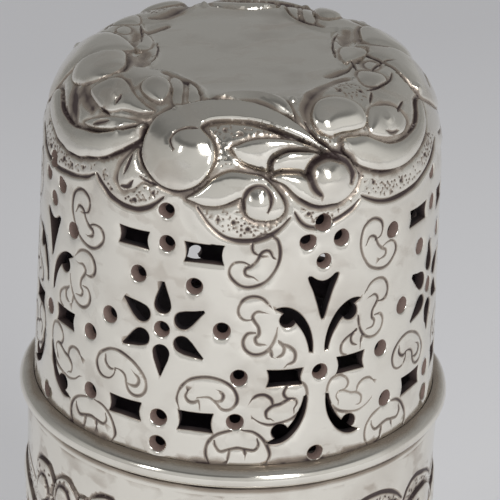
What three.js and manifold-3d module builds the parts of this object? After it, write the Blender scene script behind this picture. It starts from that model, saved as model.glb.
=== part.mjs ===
// A cylindrical silver pepper pot with a pierced, domed cover that pulls off.
// Millimetres, +Z up. The origin is on the table, under the middle of the foot. The front faces -Y.
import * as THREE from "three";
import { mergeVertices } from "three/addons/utils/BufferGeometryUtils.js";
import Module from "manifold-3d";

const wasm = await Module();
wasm.setup();

// Sheet and fits
const SHEET = 0.8; // thickness of the raised silver sheet
const SOLDER_GAP = 0.05; // between pieces that are soldered together
const SLIDE_GAP = 0.15; // all round, between the cover's sleeve and the mouth of the pot
const REST_GAP = 0.05; // between the closed cover and the mouth of the pot
const AROUND = 40; // facets round every turned piece

// Cover
const COVER_RADIUS = 18; // outside, where the wall meets its moulding
const WALL_HEIGHT = 18.9; // from the moulding to the shoulder
const WALL_TAPER = 0.69; // how much the radius shrinks up the wall
const DOME_RISE = 11.2; // from the shoulder to the plain field on top
const DOME_SHOULDER = 6.4; // superellipse power: higher is squarer at the shoulder
const DOME_CROWN = 2.2; // superellipse power: higher is flatter on top
const DOME_STEPS = 9;
const FIELD_RADIUS = 8.5; // plain cartouche in the middle of the dome
const EMBOSS_END = 16.5; // radius where the scrollwork runs out into the shoulder
const EMBOSS_RISE = 0.5; // how far the scrollwork's ring stands above the plain field
const GROUND_RISE = 0.22; // chased ground between the field and the scalloped edge
const RELIEF_STEP = 1.12; // between the rings of the raised dome
const RELIEF_SPLIT = 2; // columns of the raised dome for each facet
const PROFILE_SAMPLES = 2000; // of the dome's line, for measuring along it
const MOULDING_HEIGHT = 1.95;
const MOULDING_PROUD = 1.25; // how far the half-round wire stands out from the wall
const MOULDING_STEPS = 6;
const SLEEVE_SHEET = 0.6;
const SLEEVE_DEPTH = 6.5; // below the mouth of the pot
const SLEEVE_LEAD = 0.25; // drawn-in lower edge of the sleeve

// Pot
const BODY_STEP = 0.1; // the body is this much wider than the cover's wall
const BODY_HEIGHT = 41.5; // from the foot to the mouth
const RIM_HEIGHT = 0.7;
const RIM_PROUD = 0.35;
const FOOT_HEIGHT = 10; // from the table to the bottom of the body
const FOOT_NECK = 0.9; // the neck is this much narrower than the body
const FOOT_SPREAD = 3.9; // from the neck out to the edge of the cove
const FOOT_STEPS = 8;
const FLANGE_WIDTH = 5; // turned-in top of the foot, under the body's floor
const FLANGE_FALL = 0.9; // height of the upright neck under the body
const FRIEZE_TOP = 49; // scalloped edge of the frieze that hangs round the body
const FRIEZE_FOOT = 12.6; // scalloped edge of the frieze that stands on the collar
const FRIEZE_REACH = 24.35; // from the middle of the drawing to its scalloped edge
const FRIEZE_TURN = 41; // degrees from the front to the middle of the drawing
const FRIEZE_SHARE = 0.6; // height of its scrolls beside the dome's
const FRIEZE_STEP = 1.2; // between the rings of the raised body
const FRIEZE_SPLIT = 3; // columns of the raised body for each facet
const FOOT_WIRE_HEIGHT = 1.9;
const FOOT_WIRE_PROUD = 0.9;
const FOOT_WIRE_WIDTH = 2;

// Pattern of the pierced wall: star and leaf panels take turns
const PANEL_PAIRS = 4;
const PATTERN_TURN = -20.5; // degrees from the front to the middle of the first star
const DOT_RADIUS = 0.75;
const PETAL_RADIUS = 0.67;
const PETAL_LENGTH = 2; // from the middle of the round end to the point
const PETAL_RING = 2.15; // from the middle of the star to the round ends
const PETALS = 6;
const BAR_WIDTH = 3.1;
const BAR_HEIGHT = 1.55;
const BAR_WAIST = 0.2; // how far each end of a bar is hollowed
const HEART_WIDTH = 2.9;
const HEART_HEIGHT = 3.8;
const HEART_NOTCH = 0.5;
const CUT_REACH = 5; // length of a cut through the wall
const SAME_POINT = 1e-4; // corners closer than this are one
// Single dots that were added by hand: degrees from the front, and height above the moulding
const ODD_DOTS = [[47.2, 19.2], [-52.4, 17.5]];

// Scrollwork of the dome, drawn from above with x to the right and y to the front. The distance from
// the middle is the length along the dome's line. Each list is half of the ring, and the other
// half is the same turned about.
const GROUND_EDGE = [
  [-20.7, 3.2], [-21, 6], [-20.3, 9.6], [-18.4, 12.6], [-15.6, 15], [-14.6, 15.8], [-13.9, 17.8],
  [-12, 19.7], [-9.5, 20.6], [-7.2, 20.1], [-6.2, 19.9], [-4.7, 21.3], [-3.4, 23.2], [-0.7, 24.3],
  [2, 24.2], [4.3, 23.1], [5.6, 21.6], [7.4, 22.2], [10.1, 21], [12.4, 17.9], [14.5, 17],
  [17, 14.8], [19, 11.2], [19.6, 6.6], [19.6, 5.2], [20.8, 1.6], [20.8, -1.6],
];
const FIELD_EDGE = [
  [-8.4, -2.9], [-7.3, 0.6], [-7.3, 4.6], [-6.6, 5.7], [-4.3, 7.8], [-2.6, 11.8], [0.3, 9.75],
  [4.1, 11.6], [5.2, 9.2], [7.1, 6.7], [9, 5.9], [8.4, 2.2], [9.3, -2.6],
];
// Height of the form's edge above the ground, height of its middle above that, width of its slope
const FORMS = [
  [0.15, 0.45, 1.5, [[-14.5, 5.2], [-12, 6.85], [-9.9, 6], [-10.1, 2.5], [-12.5, 1.5], [-14.8, 3.3]]],
  [0.1, 0.3, 0.8, [[-8.2, -2.3], [-10.3, -0.3], [-9.2, 1.3], [-7.9, 0]]],
  [0.1, 0.35, 0.6, [[-12.9, 7.6], [-10.2, 7.6], [-7.2, 12.6], [-11.3, 10.9]]],
  [0.15, 0.5, 1.1, [[-8.3, 9.2], [-7, 8.2], [-5.95, 9.8], [-6.5, 11.9], [-7.9, 10.8]]],
  [0.15, 0.42, 0.8, [
    [-8, 13.5], [-8.6, 14.5], [-11.5, 14.6], [-14.5, 13.3], [-16.9, 10.9], [-18.2, 7.4],
    [-17.8, 3.2], [-16.3, 3.8], [-15.9, 8.2], [-14.1, 10.9], [-11.6, 12.6],
  ]],
  [0.05, 0.35, 0.7, [[-12.2, 15], [-12.3, 17.2], [-10.8, 17.9], [-9.5, 16.8], [-9, 15]]],
  [0.15, 0.35, 1.4, [[9.4, -1.6], [10.6, 1.4], [14.6, 3.95], [16.6, 3], [18.9, -1], [14, -2.6]]],
  [0.1, 0.4, 0.8, [[10.3, 9.6], [11.6, 7], [14.4, 4.7], [15, 6.8], [13.9, 9.8], [10.4, 11]]],
  [0.15, 0.42, 0.8, [
    [9.3, 14.8], [11.7, 15.1], [14.4, 13.55], [16.7, 9], [16.5, 6.2], [15.2, 4.6], [15.2, 6.6],
    [14.7, 9.5], [13, 12], [10.2, 13.1],
  ]],
  [0.15, 0.75, 1.7, [[5.5, 12.3], [8.2, 10.15], [10.2, 11.2], [9.2, 12.9], [6.9, 14.2]]],
  [0.15, 0.65, 1.3, [[-2.6, 12.3], [-1.2, 10.5], [0.3, 9.85], [3.1, 11.2], [3.9, 13.8], [-2.2, 13]]],
  [0.1, 0.4, 0.6, [
    [2.7, 18.65], [5.2, 17.7], [6.3, 16.05], [8.1, 15.15], [10.5, 16.2], [10.3, 18], [8, 19.7],
    [5.15, 19.5],
  ]],
  [0.15, 0.45, 0.9, [[-0.9, 16.5], [3.3, 15.5], [6.6, 15.4], [2.8, 17], [2.6, 18.1], [0.1, 17.7]]],
  [0.25, 0.45, 0.8, [[2.75, 17.2], [4.8, 16.2], [6.8, 15.95], [6.1, 17.7], [2.8, 18.1]]],
  [0.1, 0.4, 0.7, [
    [-5.2, 20.1], [-2.5, 18.8], [1.7, 18.5], [4, 20], [4.4, 21.1], [2.5, 22.1], [0.8, 21.8],
    [0.1, 20.4], [-2.5, 21.05],
  ]],
  [0.15, 0.45, 0.9, [
    [8.6, 15.45], [5.3, 14.4], [1.5, 12.85], [-1.3, 12.35], [-5.4, 12.7], [-8.4, 14.8],
    [-8.5, 17.1], [-6.5, 19.15], [-4.1, 19.3], [-2.25, 17.2], [-3.3, 14.75], [0, 14.3],
    [4.5, 15.1],
  ]],
];

// Heights and radii that follow
const bodyRadius = COVER_RADIUS + BODY_STEP;
const bodyBore = bodyRadius - SHEET;
const sleeveRadius = Math.min(COVER_RADIUS - SHEET - SOLDER_GAP, bodyBore - SLIDE_GAP);
const mouthZ = FOOT_HEIGHT + BODY_HEIGHT;
const coverFootZ = mouthZ + REST_GAP;
const wallZ = coverFootZ + MOULDING_HEIGHT;
const shoulderZ = wallZ + WALL_HEIGHT;
const shoulderRadius = COVER_RADIUS - WALL_TAPER;

// Turned shapes

const at = (radius, height) => new THREE.Vector2(radius, height);

// Turns a profile of radius and height about Z. It ends on the axis, or it is closed on itself.
function turned(profile) {
  return new THREE.LatheGeometry(profile, AROUND).rotateX(Math.PI / 2);
}

function ring(...corners) {
  return turned([...corners, corners[0]]);
}

// The same line moved sideways, to the left of its own direction.
function offset(line, distance) {
  return line.map((point, i) => {
    const before = line[Math.max(i - 1, 0)];
    const after = line[Math.min(i + 1, line.length - 1)];
    const along = after.clone().sub(before);
    if (point.x === 0) along.y = 0; // a dome is level on its axis
    along.normalize();
    return at(point.x - along.y * distance, point.y + along.x * distance);
  });
}

// A line measured along its length from its first point.
class Line {
  constructor(points) {
    this.points = points;
    this.lengths = [0];
    for (let i = 1; i < points.length; i++) {
      this.lengths.push(this.lengths[i - 1] + points[i].distanceTo(points[i - 1]));
    }
    this.length = this.lengths.at(-1);
  }

  // The point at a length along the line, and the direction to the left of the line there.
  at(along) {
    const i = Math.max(this.lengths.findIndex((length) => length >= along - SAME_POINT), 1);
    const [before, after] = [this.points[i - 1], this.points[i]];
    const share = (along - this.lengths[i - 1]) / (this.lengths[i] - this.lengths[i - 1]);
    const way = after.clone().sub(before).normalize();
    return { along, point: before.clone().lerp(after, share), normal: at(-way.y, way.x) };
  }
}

// Half-round wire laid round an upright wall of the given radius.
function halfRound(radius, foot, height, proud) {
  const points = [];
  for (let i = 0; i <= MOULDING_STEPS; i++) {
    const turn = -Math.PI / 2 + (Math.PI * i) / MOULDING_STEPS;
    points.push(at(radius + proud * Math.cos(turn), foot + (height / 2) * (1 + Math.sin(turn))));
  }
  return ring(...points);
}

// Solids for cutting

function solidOf(geometry) {
  const bare = geometry.clone();
  bare.deleteAttribute("normal");
  bare.deleteAttribute("uv");
  const merged = mergeVertices(bare, SAME_POINT);
  return new wasm.Manifold(
    new wasm.Mesh({
      numProp: 3,
      vertProperties: merged.attributes.position.array,
      triVerts: new Uint32Array(merged.index.array),
    }),
  );
}

function geometryOf(solid) {
  const mesh = solid.getMesh();
  const geometry = new THREE.BufferGeometry();
  geometry.setAttribute("position", new THREE.BufferAttribute(mesh.vertProperties, mesh.numProp));
  geometry.setIndex(new THREE.BufferAttribute(mesh.triVerts, 1));
  const flat = geometry.toNonIndexed();
  flat.computeVertexNormals();
  return flat;
}

// Outlines of the piercings, each about its own middle, with x to the right and y up

function dot() {
  return { shape: new THREE.Shape().absarc(0, 0, DOT_RADIUS, 0, 2 * Math.PI), steps: 3 };
}

function petal(turn) {
  const open = Math.acos(PETAL_RADIUS / PETAL_LENGTH);
  const shape = new THREE.Shape();
  shape.absarc(0, 0, PETAL_RADIUS, turn + open, turn - open + 2 * Math.PI);
  shape.lineTo(PETAL_LENGTH * Math.cos(turn), PETAL_LENGTH * Math.sin(turn));
  return { shape, steps: 2 };
}

function outline(points) {
  return { shape: new THREE.Shape(points.map(([x, y]) => at(x, y))), steps: 1 };
}

function bar() {
  const x = BAR_WIDTH / 2;
  const y = BAR_HEIGHT / 2;
  const waist = x - BAR_WAIST;
  return outline([[-x, -y], [x, -y], [waist, 0], [x, y], [-x, y], [-waist, 0]]);
}

function heart() {
  const x = HEART_WIDTH / 2;
  const y = HEART_HEIGHT / 2;
  const side = [0.45 * x, -0.1 * y];
  const shoulder = [0.5 * x, y - 0.6 * HEART_NOTCH];
  return outline([
    [0, -y],
    side,
    [x, y],
    shoulder,
    [0, y - HEART_NOTCH],
    [-shoulder[0], shoulder[1]],
    [-x, y],
    [-side[0], side[1]],
  ]);
}

// A curved leaf with the ball of its scroll at the middle, mirrored by the two signs.
function leaf(across, up) {
  const shape = new THREE.Shape();
  shape.moveTo(-2.3 * across, -3.15 * up);
  shape.bezierCurveTo(-2.55 * across, -0.7 * up, -0.65 * across, 1.8 * up, 1.1 * across, 0.95 * up);
  shape.bezierCurveTo(-0.55 * across, 0.2 * up, -1.65 * across, -1.1 * up, -2 * across, -3.05 * up);
  return { shape, steps: 3 };
}

// Panels: each piercing is placed by its share of the panel's width from the middle,
// and by its share of the wall's height

function starPanel() {
  const cuts = [
    [dot(), 0, 0.614],
    [dot(), 0, 0.056],
    [dot(), 0, 0.19],
    [dot(), 0, 1.02],
    [dot(), 0, 1.17],
  ];
  for (const side of [-1, 1]) {
    cuts.push([dot(), side * 0.18, 0.847]);
    cuts.push([dot(), side * 0.364, 0.63]);
    cuts.push([dot(), side * 0.5, 0.206]);
    cuts.push([dot(), side * 0.5, 0.44]);
    cuts.push([bar(), side * 0.226, 0.194]);
    cuts.push([bar(), side * 0.22, 1.01]);
  }
  for (let i = 0; i < PETALS; i++) {
    const turn = (2 * Math.PI * (i + 0.5)) / PETALS;
    const across = (PETAL_RING * Math.cos(turn)) / panelWidth;
    cuts.push([petal(turn), across, 0.614 + (PETAL_RING * Math.sin(turn)) / WALL_HEIGHT]);
  }
  return cuts;
}

function leafPanel() {
  const cuts = [
    [heart(), 0, 0.783],
    [dot(), 0, 0.434],
    [dot(), 0, 0.04],
    [dot(), 0, 0.955],
    [dot(), 0, 1.132],
  ];
  for (const side of [-1, 1]) {
    cuts.push([dot(), side * 0.2, 0.693]);
    cuts.push([leaf(side, 1), side * 0.2, 0.693]);
    cuts.push([dot(), side * 0.222, 0.156]);
    cuts.push([leaf(side, -1), side * 0.222, 0.156]);
    cuts.push([bar(), side * 0.212, 0.434]);
    cuts.push([dot(), side * 0.117, 1.05]);
  }
  return cuts;
}

const panelAngle = Math.PI / PANEL_PAIRS;
const panelWidth = panelAngle * COVER_RADIUS;

// A prism that goes straight through the wall, square to it, at an angle from the front.
function cutThrough({ shape, steps }, angle, height) {
  const outward = new THREE.Vector3(Math.sin(angle), -Math.cos(angle), 0);
  const right = new THREE.Vector3(Math.cos(angle), Math.sin(angle), 0);
  const place = new THREE.Matrix4().makeBasis(right, new THREE.Vector3(0, 0, 1), outward);
  place.setPosition(outward.multiplyScalar(shoulderRadius - CUT_REACH / 2).setZ(height));
  const options = { depth: CUT_REACH, bevelEnabled: false, curveSegments: steps };
  return solidOf(new THREE.ExtrudeGeometry(shape, options).applyMatrix4(place));
}

function piercings() {
  const cuts = [];
  for (let i = 0; i < PANEL_PAIRS * 2; i++) {
    const middle = THREE.MathUtils.degToRad(PATTERN_TURN) + i * panelAngle;
    for (const [cut, across, up] of i % 2 ? leafPanel() : starPanel()) {
      cuts.push(cutThrough(cut, middle + across * panelAngle, wallZ + up * WALL_HEIGHT));
    }
  }
  for (const [degrees, up] of ODD_DOTS) {
    for (const half of [0, Math.PI]) {
      cuts.push(cutThrough(dot(), THREE.MathUtils.degToRad(degrees) + half, wallZ + up));
    }
  }
  return cuts.reduce((all, cut) => all.add(cut));
}

// Cover

function domeHeight(radius) {
  const base = (1 - (radius / shoulderRadius) ** DOME_SHOULDER) ** (1 / DOME_CROWN);
  const share = THREE.MathUtils.clamp((radius - FIELD_RADIUS) / (EMBOSS_END - FIELD_RADIUS), 0, 1);
  return shoulderZ + DOME_RISE * base + EMBOSS_RISE * Math.sin(Math.PI * share) ** 2;
}

function domeLine() {
  const line = [];
  for (let i = 0; i <= PROFILE_SAMPLES; i++) {
    const rise = Math.cos((Math.PI / 2) * (i / PROFILE_SAMPLES));
    const radius = shoulderRadius * Math.max(1 - rise ** DOME_CROWN, 0) ** (1 / DOME_SHOULDER);
    line.push(at(radius, domeHeight(radius)));
  }
  return new Line(line);
}

// How deep a point lies inside a closed outline, or a negative number outside it.
function depthIn(corners, x, y) {
  let nearest = Infinity;
  let held = false;
  corners.forEach(([bx, by], i) => {
    const [ax, ay] = corners.at(i - 1);
    const along = THREE.MathUtils.clamp(
      ((x - ax) * (bx - ax) + (y - ay) * (by - ay)) / ((bx - ax) ** 2 + (by - ay) ** 2),
      0,
      1,
    );
    nearest = Math.min(nearest, Math.hypot(x - ax - along * (bx - ax), y - ay - along * (by - ay)));
    if (ay > y !== by > y && x < ax + ((y - ay) * (bx - ax)) / (by - ay)) held = !held;
  });
  return held ? nearest : -nearest;
}

const bothHalves = (half) => [...half, ...half.map(([x, y]) => [-x, -y])];
const groundEdge = bothHalves(GROUND_EDGE);
const fieldEdge = bothHalves(FIELD_EDGE);

// How far the scrollwork stands above the plain sheet at a point of the drawing.
function reliefAt(x, y) {
  if (depthIn(groundEdge, x, y) < 0 || depthIn(fieldEdge, x, y) > 0) return 0;
  let height = GROUND_RISE;
  for (const side of [1, -1]) {
    for (const [level, rise, slope, corners] of FORMS) {
      const depth = depthIn(corners, x * side, y * side);
      const share = Math.min(depth / slope, 1);
      if (depth > 0) height = GROUND_RISE + level + rise * Math.sqrt(1 - (1 - share) ** 2);
    }
  }
  return height;
}

// A turned solid with raised work on it: levels from the top down, each with its radius and height
// at point, and a function that gives the rise at a level and an angle.
function raised(levels, crown, rise) {
  const corners = [];
  const heights = [];
  const facet = Math.PI / AROUND;
  for (const level of levels) {
    level.start = heights.length;
    for (let i = 0; i < level.columns; i++) {
      const angle = (2 * Math.PI * i) / level.columns;
      const flat = Math.cos(facet) / Math.cos((angle % (2 * facet)) - facet);
      const height = rise(level, angle);
      const radius = level.point.x * flat + level.normal.x * height;
      const up = level.point.y + level.normal.y * height;
      corners.push(radius * Math.sin(angle), -radius * Math.cos(angle), up);
      heights.push(height);
    }
  }

  const faces = [];
  const top = heights.length;
  const last = levels.at(-1);
  corners.push(0, 0, crown, 0, 0, last.point.y);
  for (let i = 0; i < levels[0].columns; i++) faces.push(top, i, (i + 1) % levels[0].columns);
  for (let i = 0; i < last.columns; i++) {
    faces.push(top + 1, last.start + ((i + 1) % last.columns), last.start + i);
  }
  levels.slice(1).forEach((lower, row) => {
    const upper = levels[row];
    const split = upper.columns / lower.columns;
    for (let i = 0; i < upper.columns; i++) {
      const a = upper.start + i;
      const b = upper.start + ((i + 1) % upper.columns);
      const d = lower.start + Math.floor(i / split);
      const c = lower.start + (Math.floor(i / split + 1) % lower.columns);
      const even = Math.abs(heights[a] - heights[c]) <= Math.abs(heights[b] - heights[d]);
      if ((i + 1) % split) faces.push(a, d, b);
      else faces.push(...(even ? [a, d, c, a, c, b] : [a, d, b, b, d, c]));
    }
  });
  const geometry = new THREE.BufferGeometry();
  geometry.setAttribute("position", new THREE.Float32BufferAttribute(corners, 3));
  return solidOf(geometry.setIndex(faces));
}

const upright = (radius, height) => ({ point: at(radius, height), normal: at(1, 0) });

// The outside of the cover, closed underneath
function coverOutside() {
  const dome = domeLine();
  const steps = Math.round((dome.length - FIELD_RADIUS) / RELIEF_STEP) + 2;
  const levels = [];
  for (let i = 1; i <= steps; i++) {
    const level = dome.at(dome.length + (i - steps) * RELIEF_STEP);
    levels.push({ ...level, columns: AROUND * RELIEF_SPLIT });
  }
  for (const height of [wallZ, coverFootZ]) {
    levels.push({ ...upright(COVER_RADIUS, height), along: 0, columns: AROUND });
  }
  return raised(levels, domeHeight(0), ({ along }, angle) =>
    reliefAt(along * Math.sin(angle), along * Math.cos(angle)),
  );
}

function coverShell() {
  const outside = [at(COVER_RADIUS, coverFootZ), at(COVER_RADIUS, wallZ), at(shoulderRadius, shoulderZ)];
  for (let i = 1; i < DOME_STEPS; i++) {
    const rise = Math.sin((Math.PI / 2) * (i / DOME_STEPS));
    const radius = shoulderRadius * (1 - rise ** DOME_CROWN) ** (1 / DOME_SHOULDER);
    outside.push(at(radius, domeHeight(radius)));
  }
  outside.push(at(0, domeHeight(0)));
  const inside = offset(outside, SHEET);
  const below = coverFootZ - SHEET;
  const bore = turned([at(0, below), at(inside[0].x, below), ...inside]);
  return geometryOf(coverOutside().subtract(solidOf(bore)).subtract(piercings()));
}

function coverMoulding() {
  return halfRound(COVER_RADIUS + SOLDER_GAP, coverFootZ, MOULDING_HEIGHT, MOULDING_PROUD);
}

function coverSleeve() {
  const bore = sleeveRadius - SLEEVE_SHEET;
  const top = wallZ - SOLDER_GAP;
  const bottom = mouthZ - SLEEVE_DEPTH;
  return ring(
    at(bore - SLEEVE_LEAD, bottom),
    at(sleeveRadius - SLEEVE_LEAD, bottom),
    at(sleeveRadius, bottom + SLEEVE_DEPTH / 4),
    at(sleeveRadius, top),
    at(bore, top),
    at(bore, bottom + SLEEVE_DEPTH / 4),
  );
}

// Pot

// The dome's scrolls again, in one ring that hangs from its scalloped edge and one that stands on it
function friezeAt(height, angle) {
  let rise = 0;
  for (const [edge, way] of [[FRIEZE_TOP, 1], [FRIEZE_FOOT, -1]]) {
    const reach = FRIEZE_REACH + way * (height - edge);
    const turn = way * (angle - THREE.MathUtils.degToRad(FRIEZE_TURN));
    if (reach > 0) rise += reliefAt(reach * Math.sin(turn), reach * Math.cos(turn));
  }
  return FRIEZE_SHARE * rise;
}

function bodyWall() {
  const heights = [mouthZ];
  const steps = Math.round((FRIEZE_TOP - FRIEZE_FOOT) / FRIEZE_STEP) + 1;
  for (let i = 0; i <= steps; i++) heights.push(FRIEZE_TOP + FRIEZE_STEP / 2 - i * FRIEZE_STEP);
  heights.push(FOOT_HEIGHT);
  const levels = heights.map((height) => ({
    ...upright(bodyRadius, height),
    columns: AROUND * FRIEZE_SPLIT,
  }));
  const outside = raised(levels, mouthZ, ({ point }, angle) => friezeAt(point.y, angle));
  const [below, above] = [FOOT_HEIGHT - SHEET, mouthZ + SHEET];
  const bore = turned([at(0, below), at(bodyBore, below), at(bodyBore, above), at(0, above)]);
  return geometryOf(outside.subtract(solidOf(bore)));
}

function bodyRim() {
  const inner = bodyRadius + SOLDER_GAP;
  const outer = bodyRadius + RIM_PROUD;
  const bottom = mouthZ - RIM_HEIGHT;
  return ring(
    at(inner, bottom),
    at(outer, bottom + RIM_HEIGHT / 3),
    at(outer, mouthZ - RIM_HEIGHT / 3),
    at(inner, mouthZ),
  );
}

function bodyFloor() {
  const radius = bodyBore - SOLDER_GAP;
  return turned([
    at(0, FOOT_HEIGHT),
    at(radius, FOOT_HEIGHT),
    at(radius, FOOT_HEIGHT + SHEET),
    at(0, FOOT_HEIGHT + SHEET),
  ]);
}

function footCollar() {
  return halfRound(bodyRadius + SOLDER_GAP, FOOT_HEIGHT, MOULDING_HEIGHT, MOULDING_PROUD);
}

// The spreading foot: a flange under the body, an upright neck, and a cove that sweeps out
function foot() {
  const neck = bodyRadius - FOOT_NECK;
  const top = FOOT_HEIGHT - SOLDER_GAP;
  const bottom = FOOT_WIRE_HEIGHT + SOLDER_GAP;
  const fall = top - FLANGE_FALL - bottom - SHEET;
  const outside = [];
  for (let i = 0; i <= FOOT_STEPS; i++) {
    const turn = ((Math.PI / 2) * i) / FOOT_STEPS;
    const radius = neck + FOOT_SPREAD * (1 - Math.cos(turn));
    outside.unshift(at(radius, bottom + SHEET + fall * (1 - Math.sin(turn))));
  }
  const inside = offset(outside, SHEET).reverse();
  return ring(
    at(outside[0].x, bottom),
    ...outside,
    at(neck, top),
    at(neck - FLANGE_WIDTH, top),
    at(neck - FLANGE_WIDTH, top - SHEET),
    ...inside,
  );
}

function footWire() {
  const outer = bodyRadius - FOOT_NECK + FOOT_SPREAD + FOOT_WIRE_PROUD;
  const inner = outer - FOOT_WIRE_WIDTH;
  const round = (outer - inner) * 0.3;
  return ring(
    at(inner, 0),
    at(outer - round, 0),
    at(outer, FOOT_WIRE_HEIGHT * 0.3),
    at(outer, FOOT_WIRE_HEIGHT * 0.7),
    at(outer - round, FOOT_WIRE_HEIGHT),
    at(inner, FOOT_WIRE_HEIGHT),
  );
}

// The whole pepper pot

function silver(color, roughness) {
  return new THREE.MeshStandardMaterial({ color, roughness, metalness: 1 });
}

function piece(name, geometry, material) {
  const mesh = new THREE.Mesh(geometry, material);
  mesh.name = name;
  return mesh;
}

const cover = new THREE.Group();
cover.add(
  piece("cover_shell", coverShell(), silver("#d8d4cc", 0.24)),
  piece("cover_moulding", coverMoulding(), silver("#dcd8d0", 0.2)),
  piece("cover_sleeve", coverSleeve(), silver("#cfcac0", 0.35)),
);

const pot = new THREE.Group();
pot.add(
  piece("body_wall", bodyWall(), silver("#d6d1c8", 0.26)),
  piece("body_rim", bodyRim(), silver("#dcd8d0", 0.2)),
  piece("body_floor", bodyFloor(), silver("#cdc8be", 0.38)),
  piece("foot_collar", footCollar(), silver("#dcd8d0", 0.2)),
  piece("foot", foot(), silver("#d6d1c8", 0.24)),
  piece("foot_wire", footWire(), silver("#dad5cc", 0.22)),
);

const pepperPot = new THREE.Group();
pepperPot.add(pot, cover);

export default pepperPot;
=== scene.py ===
"""A silver pepper pot with a pierced and chased cover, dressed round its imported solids.
Lengths are in millimetres, and a mesh turns them into metres when it is made.
An angle round the pot starts at the front (-Y) and grows to the right."""
import math

import bpy
import numpy as np
from mathutils import Matrix, Vector
from mathutils.geometry import delaunay_2d_cdt
from mathutils.kdtree import KDTree


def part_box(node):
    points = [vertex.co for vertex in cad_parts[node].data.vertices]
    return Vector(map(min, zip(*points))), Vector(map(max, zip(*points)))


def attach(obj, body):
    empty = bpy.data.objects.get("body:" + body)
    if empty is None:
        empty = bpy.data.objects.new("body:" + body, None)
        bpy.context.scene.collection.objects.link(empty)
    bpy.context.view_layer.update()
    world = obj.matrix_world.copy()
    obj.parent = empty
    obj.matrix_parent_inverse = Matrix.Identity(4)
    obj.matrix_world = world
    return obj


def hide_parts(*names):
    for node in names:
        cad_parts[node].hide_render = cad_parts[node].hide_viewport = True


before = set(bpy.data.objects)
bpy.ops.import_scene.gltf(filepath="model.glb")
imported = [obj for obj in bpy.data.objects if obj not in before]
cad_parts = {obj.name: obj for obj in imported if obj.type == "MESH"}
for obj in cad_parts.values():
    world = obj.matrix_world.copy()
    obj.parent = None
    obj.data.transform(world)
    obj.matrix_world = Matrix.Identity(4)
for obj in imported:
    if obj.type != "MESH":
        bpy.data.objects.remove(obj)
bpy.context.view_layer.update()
MM = 0.001
TURN = 2 * math.pi
random = np.random.default_rng(7)


def node_size(node):
    """A node's outer radius, lowest height and highest height."""
    low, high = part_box(node)
    return high[0] / MM, low[2] / MM, high[2] / MM


# Sizes taken from the frame

COVER_RADIUS, COVER_FOOT, _ = node_size("cover_shell")
MOULDING_RADIUS, _, WALL_FOOT = node_size("cover_moulding")
SLEEVE_RADIUS, SLEEVE_FOOT, SLEEVE_TOP = node_size("cover_sleeve")
BODY_RADIUS, BODY_FOOT, BODY_TOP = node_size("body_wall")
RIM_RADIUS, RIM_FOOT, RIM_TOP = node_size("body_rim")
FLOOR_RADIUS, FLOOR_FOOT, FLOOR_TOP = node_size("body_floor")
COLLAR_RADIUS, COLLAR_FOOT, COLLAR_TOP = node_size("foot_collar")
FOOT_RADIUS, FOOT_FOOT, FOOT_TOP = node_size("foot")
WIRE_RADIUS, WIRE_FOOT, WIRE_TOP = node_size("foot_wire")

# Sizes that the boxes don't give

SHEET = 0.8
SLEEVE_SHEET = 0.6
SLEEVE_LEAD = 0.25  # how far the sleeve's lower edge is drawn in
WALL_HEIGHT = 18.9  # from the moulding to the shoulder
WALL_TAPER = 0.69  # how much less the radius is at the shoulder
DOME_RISE = 11.2  # from the shoulder to the middle
DOME_RADIUS_POWER = 6.4  # in the dome's curve: higher is flatter on top
DOME_HEIGHT_POWER = 2.2  # in the dome's curve: higher is more upright at the shoulder
FIELD_RADIUS = 8.5  # where the raised ring starts
EMBOSS_END = 16.5  # radius where it has run out
EMBOSS_RISE = 0.5  # how far it stands out of the dome's curve
FOOT_NECK = 0.9  # how much less the radius is at the foot's neck than on the body
FLANGE_WIDTH = 5
FLANGE_FALL = 0.9  # height of the upright neck
WIRE_WIDTH = 2
WIRE_SEAT = 0.05  # from a sheet to the flat side of the ring soldered round it
AROUND = 240  # facets round the plain turned pieces and the ends of the sheets

SHOULDER = WALL_FOOT + WALL_HEIGHT
SHOULDER_RADIUS = COVER_RADIUS - WALL_TAPER


# Curves

def curve(points, step, closed=False):
    """Points about a step apart on a soft line through the given ones."""
    given = np.array(points, float)
    if closed:
        ends = np.vstack([given[-1:], given, given[:2]])
    else:
        ends = np.vstack([2 * given[:1] - given[1:2], given, 2 * given[-1:] - given[-2:-1]])
    pieces = []
    for a, b, c, d in zip(ends, ends[1:], ends[2:], ends[3:]):
        count = max(1, math.ceil(np.linalg.norm(c - b) / step))
        t = np.arange(count)[:, None] / count
        bend = (2 * a - 5 * b + 4 * c - d) * t**2 + (3 * b - a - 3 * c + d) * t**3
        pieces.append(b + ((c - a) * t + bend) / 2)
    if not closed:
        pieces.append(given[-1:])
    return np.vstack(pieces)


def straight(points, step):
    """Points about a step apart on the sides of a closed outline, which keeps its corners."""
    given = np.array(points, float)
    pieces = []
    for a, b in zip(given, np.roll(given, -1, 0)):
        count = max(1, math.ceil(np.linalg.norm(b - a) / step))
        pieces.append(a + (b - a) * np.arange(count)[:, None] / count)
    return np.vstack(pieces)


def circle(x, y, radius, step, squash=1.0):
    """Points about a step apart round a middle, squashed in height by a share."""
    count = max(8, math.ceil(TURN * radius / step))
    turn = TURN * np.arange(count) / count
    return np.stack([x + radius * np.cos(turn), y + radius * squash * np.sin(turn)], 1)


# A turned sheet and its flat map

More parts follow.
